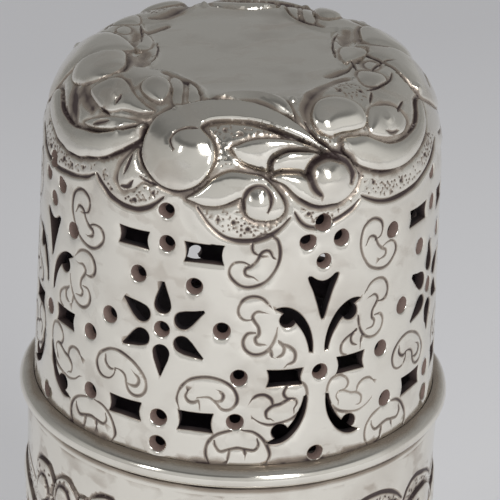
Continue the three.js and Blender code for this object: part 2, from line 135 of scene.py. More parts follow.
class TurnedSheet:
    """The outside of a sheet turned about Z, from its top down, and a flat map of it.
    The map keeps every angle, so a triangle that is well shaped on it is well shaped on the pot."""

    def __init__(self, radii, heights):
        self.r = np.array(radii)
        self.z = np.array(heights)
        steps = np.hypot(np.diff(self.r), np.diff(self.z))
        self.s = np.concatenate([[0], np.cumsum(steps)])
        pointed = int(self.r[0] == 0)
        turns = steps * 2 / (self.r[1:] + self.r[:-1])
        grown = self.r[pointed] * np.exp(np.concatenate([[0], np.cumsum(turns[pointed:])]))
        self.rho = np.concatenate([np.zeros(pointed), grown])
        self.top = int(self.z.argmax())
        self.out = np.gradient(self.r, self.s)
        self.down = -np.gradient(self.z, self.s)

    def flat(self, s, angle):
        rho = np.interp(s, self.s, self.rho)
        return np.stack([rho * np.sin(angle), rho * np.cos(angle)], -1)

    def down_to(self, height):
        """The length of the profile from its top down to a height."""
        return np.interp(-np.asarray(height, float), -self.z[self.top:], self.s[self.top:])

    def scale(self, flat):
        """Millimetres on the pot for one unit of the map."""
        rho = np.maximum(np.hypot(flat[..., 0], flat[..., 1]), self.rho[1])
        return np.interp(rho, self.rho, self.r) / rho

    def place(self, flat, height=0.0):
        """Points of the map on the pot, raised above the sheet by a height."""
        rho = np.hypot(flat[:, 0], flat[:, 1])
        angle = np.arctan2(flat[:, 0], flat[:, 1])
        r = np.interp(rho, self.rho, self.r) + height * np.interp(rho, self.rho, self.down)
        z = np.interp(rho, self.rho, self.z) + height * np.interp(rho, self.rho, self.out)
        return np.stack([r * np.sin(angle), -r * np.cos(angle), z], 1)

    def plan(self, points):
        """Points of a drawing of the top, laid out from its middle, with the front downwards."""
        points = np.asarray(points, float)
        return self.flat(np.hypot(points[:, 0], points[:, 1]), np.arctan2(points[:, 0], points[:, 1]))

    def side(self, points, axis):
        """Points of a drawing of the cover's wall: across from an axis in degrees, and up from the
        moulding."""
        points = np.asarray(points, float)
        angle = math.radians(axis) + points[:, 0] / COVER_RADIUS
        return self.flat(self.down_to(WALL_FOOT + points[:, 1]), angle)


# Chasing

def distance(points, path, closed):
    """How far points are from a path on the map, which of them a closed path holds, and the
    share of the path at which each is nearest."""
    starts = path if closed else path[:-1]
    ends = np.roll(path, -1, 0) if closed else path[1:]
    along = ends - starts
    square = np.maximum((along**2).sum(1), 1e-18)
    apart = points[:, None] - starts[None]
    share = np.clip((apart * along).sum(2) / square, 0, 1)
    squares = ((apart - share[:, :, None] * along) ** 2).sum(2)
    first = squares.argmin(1)
    every = np.arange(len(points))
    nearest = np.sqrt(squares[every, first])
    reached = (first + share[every, first]) / len(starts)
    if not closed:
        return nearest, np.zeros(len(points), bool), reached
    x, y = points[:, :1], points[:, 1:]
    spans = (starts[:, 1] > y) != (ends[:, 1] > y)
    rise = np.where(along[:, 1] == 0, 1e-18, along[:, 1])
    crosses = spans & (x < starts[:, 0] + (y - starts[:, 1]) * along[:, 0] / rise)
    return nearest, crosses.sum(1) % 2 == 1, reached


def near(points, path, margin):
    """Which points lie in a path's box, widened by a margin."""
    low, high = path.min(0) - margin, path.max(0) + margin
    return np.flatnonzero(((points > low) & (points < high)).all(1))


def beside(path, closed, offset, sheet):
    """The path moved sideways, outwards where it is closed, by millimetres on the pot."""
    if closed:
        along = np.roll(path, -1, 0) - np.roll(path, 1, 0)
        x, y = path[:, 0], path[:, 1]
        side = -np.sign((x * np.roll(y, -1) - np.roll(x, -1) * y).sum())
    else:
        along = np.gradient(path, axis=0)
        side = 1
    along = along / np.maximum(np.linalg.norm(along, axis=1), 1e-12)[:, None]
    left = np.stack([-along[:, 1], along[:, 0]], 1)
    return path + side * left * (offset / sheet.scale(path))[:, None]


class Chasing:
    """Marks made on a turned sheet one after the other, each over what lies under it."""

    # Rows of mesh points along each mark: millimetres out from a form's edge, and shares of half
    # a line's width, of a mound's radius and of a dot's
    PAD_ROWS = (-0.32, -0.12, -0.02, 0.06, 0.2)
    LINE_ROWS = (-1.25, -0.6, 0, 0.6, 1.25)
    MOUND_ROWS = (0.01, 0.35, 0.7, 1)
    MOUND_STEP = 0.25
    DOT_ROWS = (0.6, 1.1)
    DOT_CORNERS = 6
    DOT_TRIES = 3  # places tried for each dent that has room in the outline's box
    DOT_CLEAR = 1.3  # least distance of a dent from the outline, beside its radius
    DOT_APART = 0.8  # least distance between two dents, beside their spacing
    GROOVE_SPREAD = 2  # how far the groove round a form reaches, beside its depth
    EDGE_TARNISH = 0.12  # how far tarnish climbs onto a form
    LINE_TARNISH = 1.2  # how far it reaches from a line's middle, beside half the line's width
    DOT_TARNISH = 1.1  # how far it reaches from a dent's middle, beside the dent's radius

    def __init__(self, sheet, strength=1.0):
        self.sheet = sheet
        self.strength = strength
        self.marks = []
        self.rows = []

    def swell(self, path, height, slope):
        """Raises all that a closed path holds, with a soft slope outside it."""
        self.marks.append(("swell", path, height, slope))
        for offset in (0, slope / 2, slope):
            self.rows.append(beside(path, True, offset, self.sheet))

    def pad(self, path, level, height, edge, groove, tarnish_and_shade, lean=0.0):
        """A rounded form that stands on a level, with a groove chased round it. It can lean
        down the sheet by a slope."""
        self.marks.append(("pad", path, level, height, edge, groove, tarnish_and_shade, lean))
        for offset in self.PAD_ROWS:
            self.rows.append(beside(path, True, offset, self.sheet))

    def line(self, path, width, depth, tarnish_and_shade, taper):
        """A groove along an open path, whose ends taper."""
        self.marks.append(("line", path, width / 2, depth, tarnish_and_shade, taper))
        for share in self.LINE_ROWS:
            self.rows.append(beside(path, False, share * width / 2, self.sheet))

    def mound(self, centre, radius, height):
        """A soft round swelling with no groove round it."""
        self.marks.append(("mound", centre, radius, height))
        for share in self.MOUND_ROWS:
            reach = share * radius / self.sheet.scale(centre)[0]
            self.rows.append(circle(*centre[0], reach, self.MOUND_STEP))

    def dots(self, centres, radius, depth, tarnish_and_shade):
        """Round dents from a punch."""
        self.marks.append(("dots", centres, radius, depth, tarnish_and_shade))
        self.rows.append(centres)
        turn = TURN * np.arange(self.DOT_CORNERS) / self.DOT_CORNERS
        ring = np.stack([np.cos(turn), np.sin(turn)], 1)
        for share in self.DOT_ROWS:
            spread = ring[None] * (share * radius / self.sheet.scale(centres))[:, None, None]
            self.rows.append((centres[:, None] + spread).reshape(-1, 2))

    def stipple(self, outline, spacing, radius, depth, tarnish_and_shade):
        """Dents scattered over all that a closed path holds."""
        unit = self.sheet.scale(outline).mean()
        low, high = outline.min(0), outline.max(0)
        count = int(self.DOT_TRIES * np.prod(high - low) * unit**2 / spacing**2)
        tries = low + random.random((count, 2)) * (high - low)
        gap, held, _ = distance(tries, outline, True)
        tries = tries[held & (gap * unit > self.DOT_CLEAR * radius)]
        kept = []
        for point in tries:
            if all(np.hypot(*(point - other)) * unit > spacing * self.DOT_APART for other in kept):
                kept.append(point)
        if kept:
            self.dots(np.array(kept), radius, depth, tarnish_and_shade)

    def at(self, points):
        """The height of the chased sheet at points of the map, and how much tarnish, with some painted
        shade, it has there.
        """
        height = np.zeros(len(points))
        tarnish_and_shade = np.zeros(len(points))
        scale = self.sheet.scale(points)
        for mark in self.marks:
            kind, path = mark[:2]
            unit = self.sheet.scale(path).min()
            if kind == "swell":
                _, _, rise, slope = mark
                here = near(points, path, slope / unit)
                gap, held, _ = distance(points[here], path, True)
                share = np.where(held, 0, np.clip(gap * scale[here] / slope, 0, 1))
                height[here] += rise * (1 - share**2 * (3 - 2 * share))
            elif kind == "pad":
                _, _, level, rise, edge, groove, dark, lean = mark
                reach = self.GROOVE_SPREAD * groove
                here = near(points, path, reach / unit)
                gap, held, _ = distance(points[here], path, True)
                gap = gap * scale[here]
                share = np.clip(gap / edge, 0, 1)
                inside = level + rise * np.sqrt(1 - (1 - share) ** 2)
                below = np.hypot(*points[here].T) - np.hypot(*path.T).mean()
                inside -= lean * below * scale[here]
                fall = np.clip(1 - gap / reach, 0, 1)
                height[here] = np.where(held, inside, height[here] - groove * fall)
                worn = np.maximum(tarnish_and_shade[here], dark * fall**0.7)
                tarnish_and_shade[here] = np.where(held, dark * np.clip(1 - gap / self.EDGE_TARNISH, 0, 1), worn)
            elif kind == "line":
                _, _, half, depth, dark, taper = mark
                here = near(points, path, 1.3 * half / unit)
                gap, _, reached = distance(points[here], path, False)
                full = 1 - taper * np.abs(2 * reached - 1) ** 3
                share = np.clip(gap * scale[here] / (half * full), 0, self.LINE_TARNISH)
                height[here] -= depth * full * np.clip(1 - share**2, 0, 1)
                tarnish_and_shade[here] = np.maximum(tarnish_and_shade[here], dark * np.clip(self.LINE_TARNISH - share, 0, 1))
            elif kind == "mound":
                _, _, radius, rise = mark
                here = near(points, path, radius / unit)
                gap = np.linalg.norm(points[here] - path[0], axis=1) * scale[here] / radius
                height[here] += rise * np.clip(1 - gap**2, 0, 1) ** 1.5
            else:
                _, _, radius, depth, dark = mark
                for centre in path:
                    here = near(points, centre[None], 1.2 * radius / unit)
                    gap = np.linalg.norm(points[here] - centre, axis=1) * scale[here] / radius
                    height[here] -= depth * np.clip(1 - gap**2, 0, 1)
                    worn = dark * np.clip(self.DOT_TARNISH - gap, 0, 1)
                    tarnish_and_shade[here] = np.maximum(tarnish_and_shade[here], worn)
        return height * self.strength, tarnish_and_shade


# Meshes

SHARP_ANGLE = 48  # degrees between two faces from which their edge stays sharp
ROW_SPACING = 0.87  # of the rows in a net of even triangles, beside the length of a side


def put(name, data):
    """A new object in the scene."""
    thing = bpy.data.objects.new(name, data)
    bpy.context.scene.collection.objects.link(thing)
    return thing


def solid_mesh(name, points, faces, tarnish_and_shade=None):
    """An object from millimetre points, with its soft edges shaded smooth."""
    mesh = bpy.data.meshes.new(name)
    mesh.from_pydata((np.asarray(points) * MM).tolist(), [], [list(face) for face in faces])
    mesh.update()
    mesh.shade_smooth()
    mesh.set_sharp_from_angle(angle=math.radians(SHARP_ANGLE))
    if tarnish_and_shade is not None:
        # Darkness of each point: tarnish, and painted shade at seams, joints and inside
        layer = mesh.attributes.new("tarnish_and_shade", "FLOAT", "POINT")
        layer.data.foreach_set("value", np.asarray(tarnish_and_shade, np.float32))
    return put(name, mesh)


def turned(name, profile, tarnish_and_shade=None):
    """A closed ring of profile corners, radius and height, turned about Z."""
    profile = np.array(profile, float)
    angle = TURN * np.arange(AROUND) / AROUND
    x = profile[None, :, 0] * np.sin(angle)[:, None]
    y = -profile[None, :, 0] * np.cos(angle)[:, None]
    z = np.broadcast_to(profile[None, :, 1], x.shape)
    points = np.stack([x, y, z], 2).reshape(-1, 3)
    corners = len(profile)
    area = (profile[:, 0] * np.roll(profile[:, 1], -1) - np.roll(profile[:, 0], -1) * profile[:, 1]).sum()
    faces = []
    for i in range(AROUND):
        a, b = i * corners, (i + 1) % AROUND * corners
        for j in range(corners):
            k = (j + 1) % corners
            face = (a + j, b + j, b + k, a + k)
            faces.append(face if area > 0 else face[::-1])
    return solid_mesh(name, points, faces, None if tarnish_and_shade is None else np.tile(tarnish_and_shade, AROUND))


def background(sheet, start, end, spacing):
    """Evenly spread points of the map between two lengths of the profile."""
    rings = []
    for k, s in enumerate(np.arange(start, end, spacing * ROW_SPACING)):
        radius = np.interp(s, sheet.s, sheet.r)
        count = max(6, round(TURN * radius / spacing))
        angle = TURN * (np.arange(count) + 0.5 * (k % 2)) / count
        rings.append(sheet.flat(np.full(count, s), angle))
    return np.vstack(rings)


def thinned(sheet, points, cell):
    """The points, with one for each cell of that size."""
    key = np.round(sheet.place(points) / cell).astype(int)
    _, first = np.unique(key, axis=0, return_index=True)
    return points[np.sort(first)]


def clear_of(sheet, points, others, gap):
    """The points that are farther than the gap from all the others."""
    tree = KDTree(len(others))
    for i, place in enumerate(sheet.place(others)):
        tree.insert(place, i)
    tree.balance()
    far = [tree.find(place)[2] > gap for place in sheet.place(points)]
    return points[np.array(far)]


def outside_cuts(sheet, points, cuts, gap=0.0):
    """Which points lie outside every cut, and farther than the gap from its edge."""
    keep = np.ones(len(points), bool)
    for cut in cuts:
        margin = gap / sheet.scale(cut).min()
        here = near(points, cut, margin)
        if len(here):
            apart, held, _ = distance(points[here], cut, True)
            keep[here] &= ~held & (apart > margin)
    return keep


def triangles(sheet, points, cuts, rims):
    """The flat map's triangles between its rims and outside its cuts."""
    edges, corners, start = [], [points], len(points)
    for loop in list(cuts) + list(rims):
        count = len(loop)
        edges += [(start + i, start + (i + 1) % count) for i in range(count)]
        corners.append(loop)
        start += count
    every = [Vector(p) for p in np.vstack(corners).tolist()]
    found = delaunay_2d_cdt(every, edges, [], 0, 1e-9, False)
    flat = np.array([tuple(v) for v in found[0]])
    faces = np.array(found[2])
    middle = flat[faces].mean(1)
    keep = outside_cuts(sheet, middle, cuts)
    inner = min(np.hypot(*loop.T).min() for loop in rims) if len(rims) > 1 else 0
    keep &= np.hypot(*middle.T) > inner
    return flat, faces[keep]


def open_edges(faces):
    """The directed edges that only one face has."""
    pairs = np.vstack([faces[:, [0, 1]], faces[:, [1, 2]], faces[:, [2, 0]]])
    size = faces.max() + 1
    forward, backward = pairs[:, 0] * size + pairs[:, 1], pairs[:, 1] * size + pairs[:, 0]
    return pairs[~np.isin(forward, backward)]


# Sheets that are chased and cut through

CUT_EDGE = 0.13  # width of the rounded rim of a cut
CUT_ROUND = 0.08  # how far that rim falls
CUP = 0.66  # width of a drilled hole inside, beside its width outside
SAWN_RIM_DIRT = 0.6
# Darkness over the whole inside: tarnish of the unpolished side, and painted shade that keeps the holes
# dark
INSIDE_TARNISH_AND_SHADE = 1.2
DRILLED_DIRT = 0
SEAM_REACH = 0.75  # how far tarnish and painted shade spread from a seam
SEAM_TARNISH_AND_SHADE = 1.3
COVER_FILM = 0.3  # how strong the thin tarnish is that lies over all in patches
BODY_FILM = 0.36
FINE_CELL = 0.1  # spacing of the mesh points along the marks
END_CLEAR = 0.15  # what those points leave free at the ends of a sheet
# What the points along the marks, between them and inside leave free round a cut
FINE_CLEAR, DENSE_CLEAR, INSIDE_CLEAR = 0.7 * CUT_EDGE, 1.5 * CUT_EDGE, 0.4
APART = 0.6  # least distance from a fine point to a dense one, beside the spacing
HOLE_MARGIN = 0.01  # widening of a hole's box that takes in the hole's own rim
# Material slots of every piece
OUTSIDE, INSIDE, CUT_WALL = 0, 1, 2

# Slow waves left in the sheet by the hammer: how high, and how far apart
WAVES = [(0.012, 5.5), (0.008, 3.2), (0.004, 1.9)]
WAVE_COUNT = 5
# Patches where dirt gathers: how strong, and how far apart
PATCHES = [(0.6, 4.1), (0.4, 1.3)]


def ripples(points, length):
    """Slow random waves of a length, each point's between about -1 and 1."""
    seeds = np.random.default_rng(3)
    total = np.zeros(len(points))
    for _ in range(WAVE_COUNT):
        way = seeds.normal(size=3)
        way *= TURN / length / np.linalg.norm(way)
        total += np.sin(points @ way + seeds.uniform(0, TURN)) / math.sqrt(WAVE_COUNT)
    return total


def uneven(points):
    """The small height that the hammer left at each point."""
    return sum(height * ripples(points, length) for height, length in WAVES)


def patches(points):
    """Where dirt has gathered, from 0 to 1."""
    return np.clip(0.5 + sum(share * ripples(points, length) for share, length in PATCHES), 0, 1)


def tarnish_and_seam_shade(tarnish_and_shade, points, seam, film):
    """The tarnish and shade, with a patchy film of tarnish over all, and more darkness at the height of a
    seam: tarnish in the joint, and painted shade.
    """
    spread = patches(points)
    # Darker round the seam: tarnish in the joint, and painted shade in it and under it
    seam_tarnish_and_shade = np.clip(1 - np.abs(points[:, 2] - seam) / SEAM_REACH, 0, 1) * spread
    return np.maximum(tarnish_and_shade + film * spread, SEAM_TARNISH_AND_SHADE * seam_tarnish_and_shade)


def outside_points(sheet, chasing, cuts, dense):
    """Points of the map, close together at the marks and the cuts."""
    rows = np.vstack(chasing.rows + [beside(cut, True, CUT_EDGE, sheet) for cut in cuts])
    rho = np.hypot(*rows.T)
    low, high = sheet.flat(END_CLEAR, 0.0)[1], sheet.flat(sheet.s[-1] - END_CLEAR, 0.0)[1]
    fine = thinned(sheet, rows[(rho > low) & (rho < high)], FINE_CELL)
    fine = fine[outside_cuts(sheet, fine, cuts, FINE_CLEAR)]
    spread = [fine]
    for start, end, spacing in dense:
        points = background(sheet, start, end, spacing)
        points = points[outside_cuts(sheet, points, cuts, DENSE_CLEAR)]
        spread.append(clear_of(sheet, points, fine, spacing * APART))
    return np.vstack(spread)


def inside_points(sheet, cuts, plain):
    points = np.vstack([background(sheet, *part) for part in plain])
    return points[outside_cuts(sheet, points, cuts, INSIDE_CLEAR)]


def nearest_of(points, others):
    """For each point of the map, the number of the nearest of the others."""
    tree = KDTree(len(others))
    for i, (x, y) in enumerate(others):
        tree.insert((x, y, 0), i)
    tree.balance()
    return [tree.find((x, y, 0))[1] for x, y in points]


def chased_sheet(name, sheet, chasing, sawn, drilled, dense, plain, seam, film):
    """A sheet with its chasing outside, its cuts right through it, and a smooth inside.
    Dense and plain are lists of the start, end and spacing of the points outside and inside.
    Tarnish and painted shade gather at the height of the seam, and a film of tarnish lies over all."""
    cuts = sawn + drilled
    angle = TURN * np.arange(AROUND) / AROUND
    rims = [sheet.flat(np.full(AROUND, sheet.s[-1]), angle)]
    if sheet.r[0] > 0:
        rims.append(sheet.flat(np.zeros(AROUND), angle))
    flat, faces = triangles(sheet, outside_points(sheet, chasing, cuts, dense), cuts, rims)
    height, tarnish_and_shade = chasing.at(flat)
    edges = open_edges(faces)
    rim = np.unique(edges)
    height[rim] -= CUT_ROUND
    tarnish_and_shade[rim] = SAWN_RIM_DIRT
    bare = sheet.place(flat)
    tarnish_and_shade = tarnish_and_seam_shade(tarnish_and_shade, bare, seam, film)
    outer = sheet.place(flat, height + uneven(bare))

    narrow = sawn + [cut.mean(0) + CUP * (cut - cut.mean(0)) for cut in drilled]
    inner_flat, inner_faces = triangles(sheet, inside_points(sheet, cuts, plain), narrow, rims)
    inner = sheet.place(inner_flat, -SHEET)
    # The inside is darkened all over: tarnish, and painted shade seen through the holes
    inner_tarnish_and_shade = np.full(len(inner), INSIDE_TARNISH_AND_SHADE)
    for cut in drilled:
        tarnish_and_shade[rim[near(flat[rim], cut, HOLE_MARGIN)]] = DRILLED_DIRT
        inner_tarnish_and_shade[near(inner_flat, cut, 0)] = DRILLED_DIRT

    start = len(outer)
    twin = dict(zip(rim.tolist(), nearest_of(flat[rim], inner_flat)))
    walls = [(a, b, start + twin[b], start + twin[a]) for a, b in edges.tolist()]
    all_faces = faces[:, ::-1].tolist() + (inner_faces + start).tolist() + walls
    all_tarnish_and_shade = np.concatenate([tarnish_and_shade, inner_tarnish_and_shade])
    piece = solid_mesh(name, np.vstack([outer, inner]), all_faces, all_tarnish_and_shade)
    sides = np.repeat([OUTSIDE, INSIDE, CUT_WALL], [len(faces), len(inner_faces), len(walls)])
    piece.data.polygons.foreach_set("material_index", sides.astype(np.int32))
    return piece


# Piercings of the cover's wall, each about its own middle

CUT_STEP = 0.2
DOT_SQUASH = 0.97  # height of a dot beside its width
PETALS = 6
PETAL_RADIUS = 0.77
PETAL_TIP = [(2.08, 0.07), (1.3, 0.37), (0.6, 0.65)]
PETAL_ROUND_END = 0.4  # how far along the petal its round end goes
BAR_HOLLOW = 0.2  # how deep a bar's end is hollowed at its middle
BAR_FLARE = 0.14  # and halfway from there to a corner
BAR_SIDE = 0.94  # height of a bar's sides beside its corners'
HEART = [(0.08, -1.92), (0.5, -0.6), (0.92, 0.6), (1.3, 1.45), (1.42, 1.9), (1.15, 1.98), (0.6, 1.62)]
HEART_NOTCH = (0, 1.45)
LEAF_TIP, LEAF_STEM = (1.15, 1.0), (-2.0, -3.05)
LEAF_BACK = [(-2.3, -3.15), (-2.55, -0.7), (-0.65, 1.8), LEAF_TIP]
LEAF_BELLY = [LEAF_TIP, (-0.55, 0.2), (-1.65, -1.1), LEAF_STEM]
BACK_STEPS, BELLY_STEPS = 22, 18


def bezier(a, b, c, d, count):
    t = np.linspace(0, 1, count, endpoint=False)[:, None]
    a, b, c, d = (np.array(p, float) for p in (a, b, c, d))
    return a * (1 - t) ** 3 + 3 * b * t * (1 - t) ** 2 + 3 * c * t**2 * (1 - t) + d * t**3


def dot(radius):
    return circle(0, 0, radius, CUT_STEP, DOT_SQUASH)


def petal(turn):
    """A teardrop with its round end at the middle, pointing along a turn in degrees."""
    back = circle(0, 0, PETAL_RADIUS, CUT_STEP)
    back = back[back[:, 0] < PETAL_ROUND_END]
    back = back[np.argsort(np.arctan2(back[:, 1], back[:, 0]) % TURN)]
    outline = np.vstack([PETAL_TIP, back, [(x, -y) for x, y in PETAL_TIP[::-1]]])
    c, s = math.cos(math.radians(turn)), math.sin(math.radians(turn))
    return outline @ np.array([[c, s], [-s, c]])


def bar(width, height):
    """An oblong whose ends are hollowed and whose corners run out a little."""
    x, y = width / 2, height / 2
    flare = x - BAR_FLARE
    end = [(x, -y), (flare, -0.5 * y), (x - BAR_HOLLOW, 0), (flare, 0.5 * y), (x, y)]
    side = [(0.3 * x, BAR_SIDE * y), (-0.3 * x, BAR_SIDE * y)]
    half = end + side
    return straight(half + [(-a, -b) for a, b in half], CUT_STEP)


def heart():
    left = [(-x, y) for x, y in HEART[::-1]]
    return curve(HEART + [HEART_NOTCH] + left, CUT_STEP, closed=True)


def leaf(across, up):
    """A curved leaf whose ball is at the middle, mirrored by the two signs."""
    back, belly = bezier(*LEAF_BACK, BACK_STEPS), bezier(*LEAF_BELLY, BELLY_STEPS)
    return np.vstack([back, belly, [LEAF_STEM]]) * (across, up)


# Panels of the wall, as measured: angle of the middle, and how far the hand drifted upwards
# near the foot and near the top
STAR_PANELS = [(-20, 0, 0), (69, 0.25, 0.15), (160, 0.8, 0.8), (249, -0.1, 0.3)]
LEAF_PANELS = [(23.2, 0, 0), (114.5, 0.2, 0), (204.3, 0.35, 1), (295.3, 0.2, 1)]
DRIFT_FROM, DRIFT_TO = 4, 9

STAR_DOTS = [
    (0, 11.64, 0.72), (-5.13, 11.64, 0.77), (5.18, 12.18, 0.75), (-2.35, 16.1, 0.75),
    (2.72, 15.9, 0.73), (0, 3.57, 0.77), (0, 1.1, 0.75), (0.2, 19.27, 0.72), (0.04, 22.1, 0.68),
]
STAR_BARS = [
    (-3.2, 3.69, 3.2, 1.64), (3.23, 3.73, 3.05, 1.8), (-2.92, 19.17, 3, 1.55), (3.46, 18.85, 3.4, 1.75),
]
STAR_RING = 2.15
LEAF_DOTS = [
    (0.2, 18.06, 0.68), (-1.35, 19.9, 0.74), (1.78, 19.85, 0.75), (-0.08, 21.5, 0.75),
    (0.19, 8.16, 0.71), (0.03, 0.62, 0.68),
]
LEAF_BARS = [(-2.92, 7.95, 3.1, 1.55), (3.16, 8.36, 2.85, 1.6)]
LEAF_BALLS = [(-2.85, 13.15, -1, 1), (2.87, 13.1, 1, 1), (-3.2, 3, -1, -1), (3.12, 2.9, 1, -1)]
BALL_RADIUS = 0.74
BETWEEN_RADIUS = 0.74
HEART_AT = (0.22, 14.85)
BETWEEN_DOTS = [
    (1.5, 8.03), (0.9, 3.98), (44, 8.74), (46.5, 3.77), (-43.4, 9.3), (-42.5, 3.9),
    (91.7, 8.5), (91.5, 4), (137.2, 8.2), (137, 3.9), (182.4, 8.3), (182.5, 4),
    (227, 8.6), (227.2, 3.9), (272, 8.9), (272.3, 4), (47.2, 19.2), (-52.4, 17.5),
]
LOWER_DOTS = BETWEEN_DOTS[1:16:2]


def drift(up, low, high):
    share = np.clip((np.asarray(up) - DRIFT_FROM) / (DRIFT_TO - DRIFT_FROM), 0, 1)
    return low + (high - low) * share


def wall_cuts(sheet):
    """The cuts made with a saw, and the round holes, which are narrower inside."""
    sawn, drilled = [], []

    def cut(outline, axis, across, up, cuts=sawn):
        cuts.append(sheet.side(outline + (across, up), axis))

    for axis, low, high in STAR_PANELS:
        for x, up, radius in STAR_DOTS:
            cut(dot(radius), axis, x, up + drift(up, low, high), drilled)
        for x, up, width, height in STAR_BARS:
            cut(bar(width, height), axis, x, up + drift(up, low, high))
        for turn in range(180 // PETALS, 360, 360 // PETALS):
            x, y = math.cos(math.radians(turn)), math.sin(math.radians(turn))
            middle = STAR_DOTS[0][1] + high
            cut(petal(turn), axis, STAR_RING * x, middle + STAR_RING * y)
    for axis, low, high in LEAF_PANELS:
        for x, up, radius in LEAF_DOTS:
            cut(dot(radius), axis, x, up + drift(up, low, high), drilled)
        for x, up, width, height in LEAF_BARS:
            cut(bar(width, height), axis, x, up + drift(up, low, high))
        for x, up, across, rise in LEAF_BALLS:
            lift = up + drift(up, low, high)
            cut(dot(BALL_RADIUS), axis, x, lift)
            cut(leaf(across, rise), axis, x, lift)
        cut(heart(), axis, HEART_AT[0], HEART_AT[1] + high)
    for axis, up in BETWEEN_DOTS:
        cut(dot(BETWEEN_RADIUS), axis, 0, up, drilled)
    return sawn, drilled


# Engraved scrolls of the wall: lines across from a panel's middle and up from the moulding

ARCH_KIDNEY = [
    [(1.84, 4.75), (1.59, 5.66), (1.84, 6.64), (2.49, 7.46), (3.48, 7.87), (4.46, 7.95), (5.44, 7.7),
     (6.26, 7.13), (6.67, 6.31), (6.59, 5.66), (6.1, 5.16), (5.44, 5.16), (4.87, 5.74), (4.4, 6.1),
     (3.97, 6.13), (3.31, 5.98)],
    [(2.49, 6.48), (2.33, 5.98), (2.66, 5.57), (3.15, 5.57), (3.42, 5.75), (3.56, 5.33)],
    [(5.2, 6.8), (5.52, 6.39), (5.36, 5.9), (4.79, 5.82)],
]
LEFT_KIDNEY = [
    [(-4.3, 6.86), (-4.4, 6.42), (-4.7, 6.02), (-5.1, 5.83), (-5.6, 5.85), (-6.05, 6.14), (-6.3, 6.68),
     (-6.3, 7.28), (-6, 7.85), (-5.45, 8.32), (-4.8, 8.63), (-4, 8.69), (-3.2, 8.46), (-2.45, 8.05),
     (-1.8, 7.46), (-1.35, 6.83), (-1.2, 6.18), (-1.33, 5.57), (-1.72, 5.19), (-2.32, 5.08),
     (-2.83, 5.34), (-3.12, 5.88), (-3.2, 6.4), (-3.42, 6.78), (-3.85, 6.98), (-4.3, 7)],
    [(-5.34, 7.75), (-5.38, 7.32), (-5.13, 6.97), (-4.79, 6.8), (-4.42, 6.85)],
    [(-2.29, 7), (-1.98, 6.78), (-1.91, 6.39), (-2.15, 5.98), (-2.6, 5.9), (-2.95, 6)],
]
UPPER_KIDNEY = [
    [(5.27, 18.88), (5.94, 19.17), (6.13, 19.85), (5.85, 20.52), (4.98, 20.87), (4.12, 20.42),
     (3.79, 19.56), (3.77, 18.6), (4.12, 17.63), (4.88, 16.67), (6.04, 16.19), (7, 16.29),
     (7.77, 16.96), (7.96, 17.63), (7.58, 18.25), (6.81, 18.35), (6.1, 18.02)],
    [(4.31, 18.69), (4.69, 19.33), (5.27, 19.21), (5.65, 18.5), (6.1, 18.02), (6.62, 17.73),
     (6.58, 17.25), (5.94, 17.06)],
]
SIDE_SCROLL = [
    [(4.43, 14.5), (5.08, 15.16), (5.9, 15.36), (6.64, 15.08), (7.05, 14.34), (7, 13.69),
     (6.56, 13.28), (5.98, 13.28)],
    [(4.89, 13.93), (5.49, 14.02), (5.87, 13.6), (5.66, 13.1), (5.33, 12.6), (5.28, 11.97),
     (5.57, 11.64), (5.41, 11.15), (4.75, 11.07)],
    [(5.57, 12.13), (6.23, 12.05), (6.59, 11.39), (6.39, 10.66), (5.74, 10.21), (4.92, 10.28),
     (4.26, 10.82), (3.85, 11.72), (3.74, 12.54)],
    [(3.61, 11.39), (3.11, 10.74), (3.2, 10.16), (3.69, 9.87)],
    [(4.26, 10.66), (4.1, 9.92)],
    [(3.6, 11.2), (2.62, 10.74), (2.13, 10.16), (2.21, 9.43), (2.79, 9.18)],
]
LOWER_SCROLL = [
    [(2.05, 5.08), (1.8, 5.57), (2.05, 5.95), (2.7, 6.07), (2.98, 6.56), (2.7, 7.13), (2.05, 7.49),
     (1.31, 7.3), (0.95, 6.6), (0.98, 5.66), (1.39, 4.84), (2.13, 4.18), (3.11, 3.85), (4.1, 3.72),
     (4.92, 3.98), (5.57, 4.43)],
    [(2.05, 5.98), (2.62, 5.9), (3.28, 5.57), (3.93, 5.41), (4.43, 4.92), (4.34, 4.34), (4.02, 4.26)],
    [(3.9, 5.49), (4.02, 6.07), (4.59, 6.48), (5.25, 6.44), (5.66, 6.11)],
]
FOOT_KIDNEY = [
    [(-2.41, 0.08), (-2.7, 0.9), (-2.57, 1.89), (-1.92, 2.7), (-0.93, 3.14), (-0.5, 3.2)],
    [(0.3, 3.28), (1.2, 3.11), (1.93, 2.54), (2.43, 1.72), (2.67, 0.9), (2.43, 0.25)],
    [(-2, 2.21), (-1.92, 1.72), (-1.51, 1.23), (-0.85, 1.39), (-0.1, 1.59), (0.54, 1.48),
     (1.36, 1.39), (1.69, 1.89), (1.56, 2.41)],
    [(-0.69, 1.48), (-0.85, 0.41)],
    [(0.54, 1.39), (0.62, 0.9)],
]
LINE_STEP = 0.2
LINE_WIDTH = 0.34
LINE_DEPTH = 0.08
LINE_DIRT = 1.05
LINE_TAPER = 0.55
FOOT_KIDNEY_TURN = 1.1  # degrees from the lower dot between two panels to the kidney under it
TOP_DRIFT = 0.7  # how much of a panel's drift its upper kidneys have


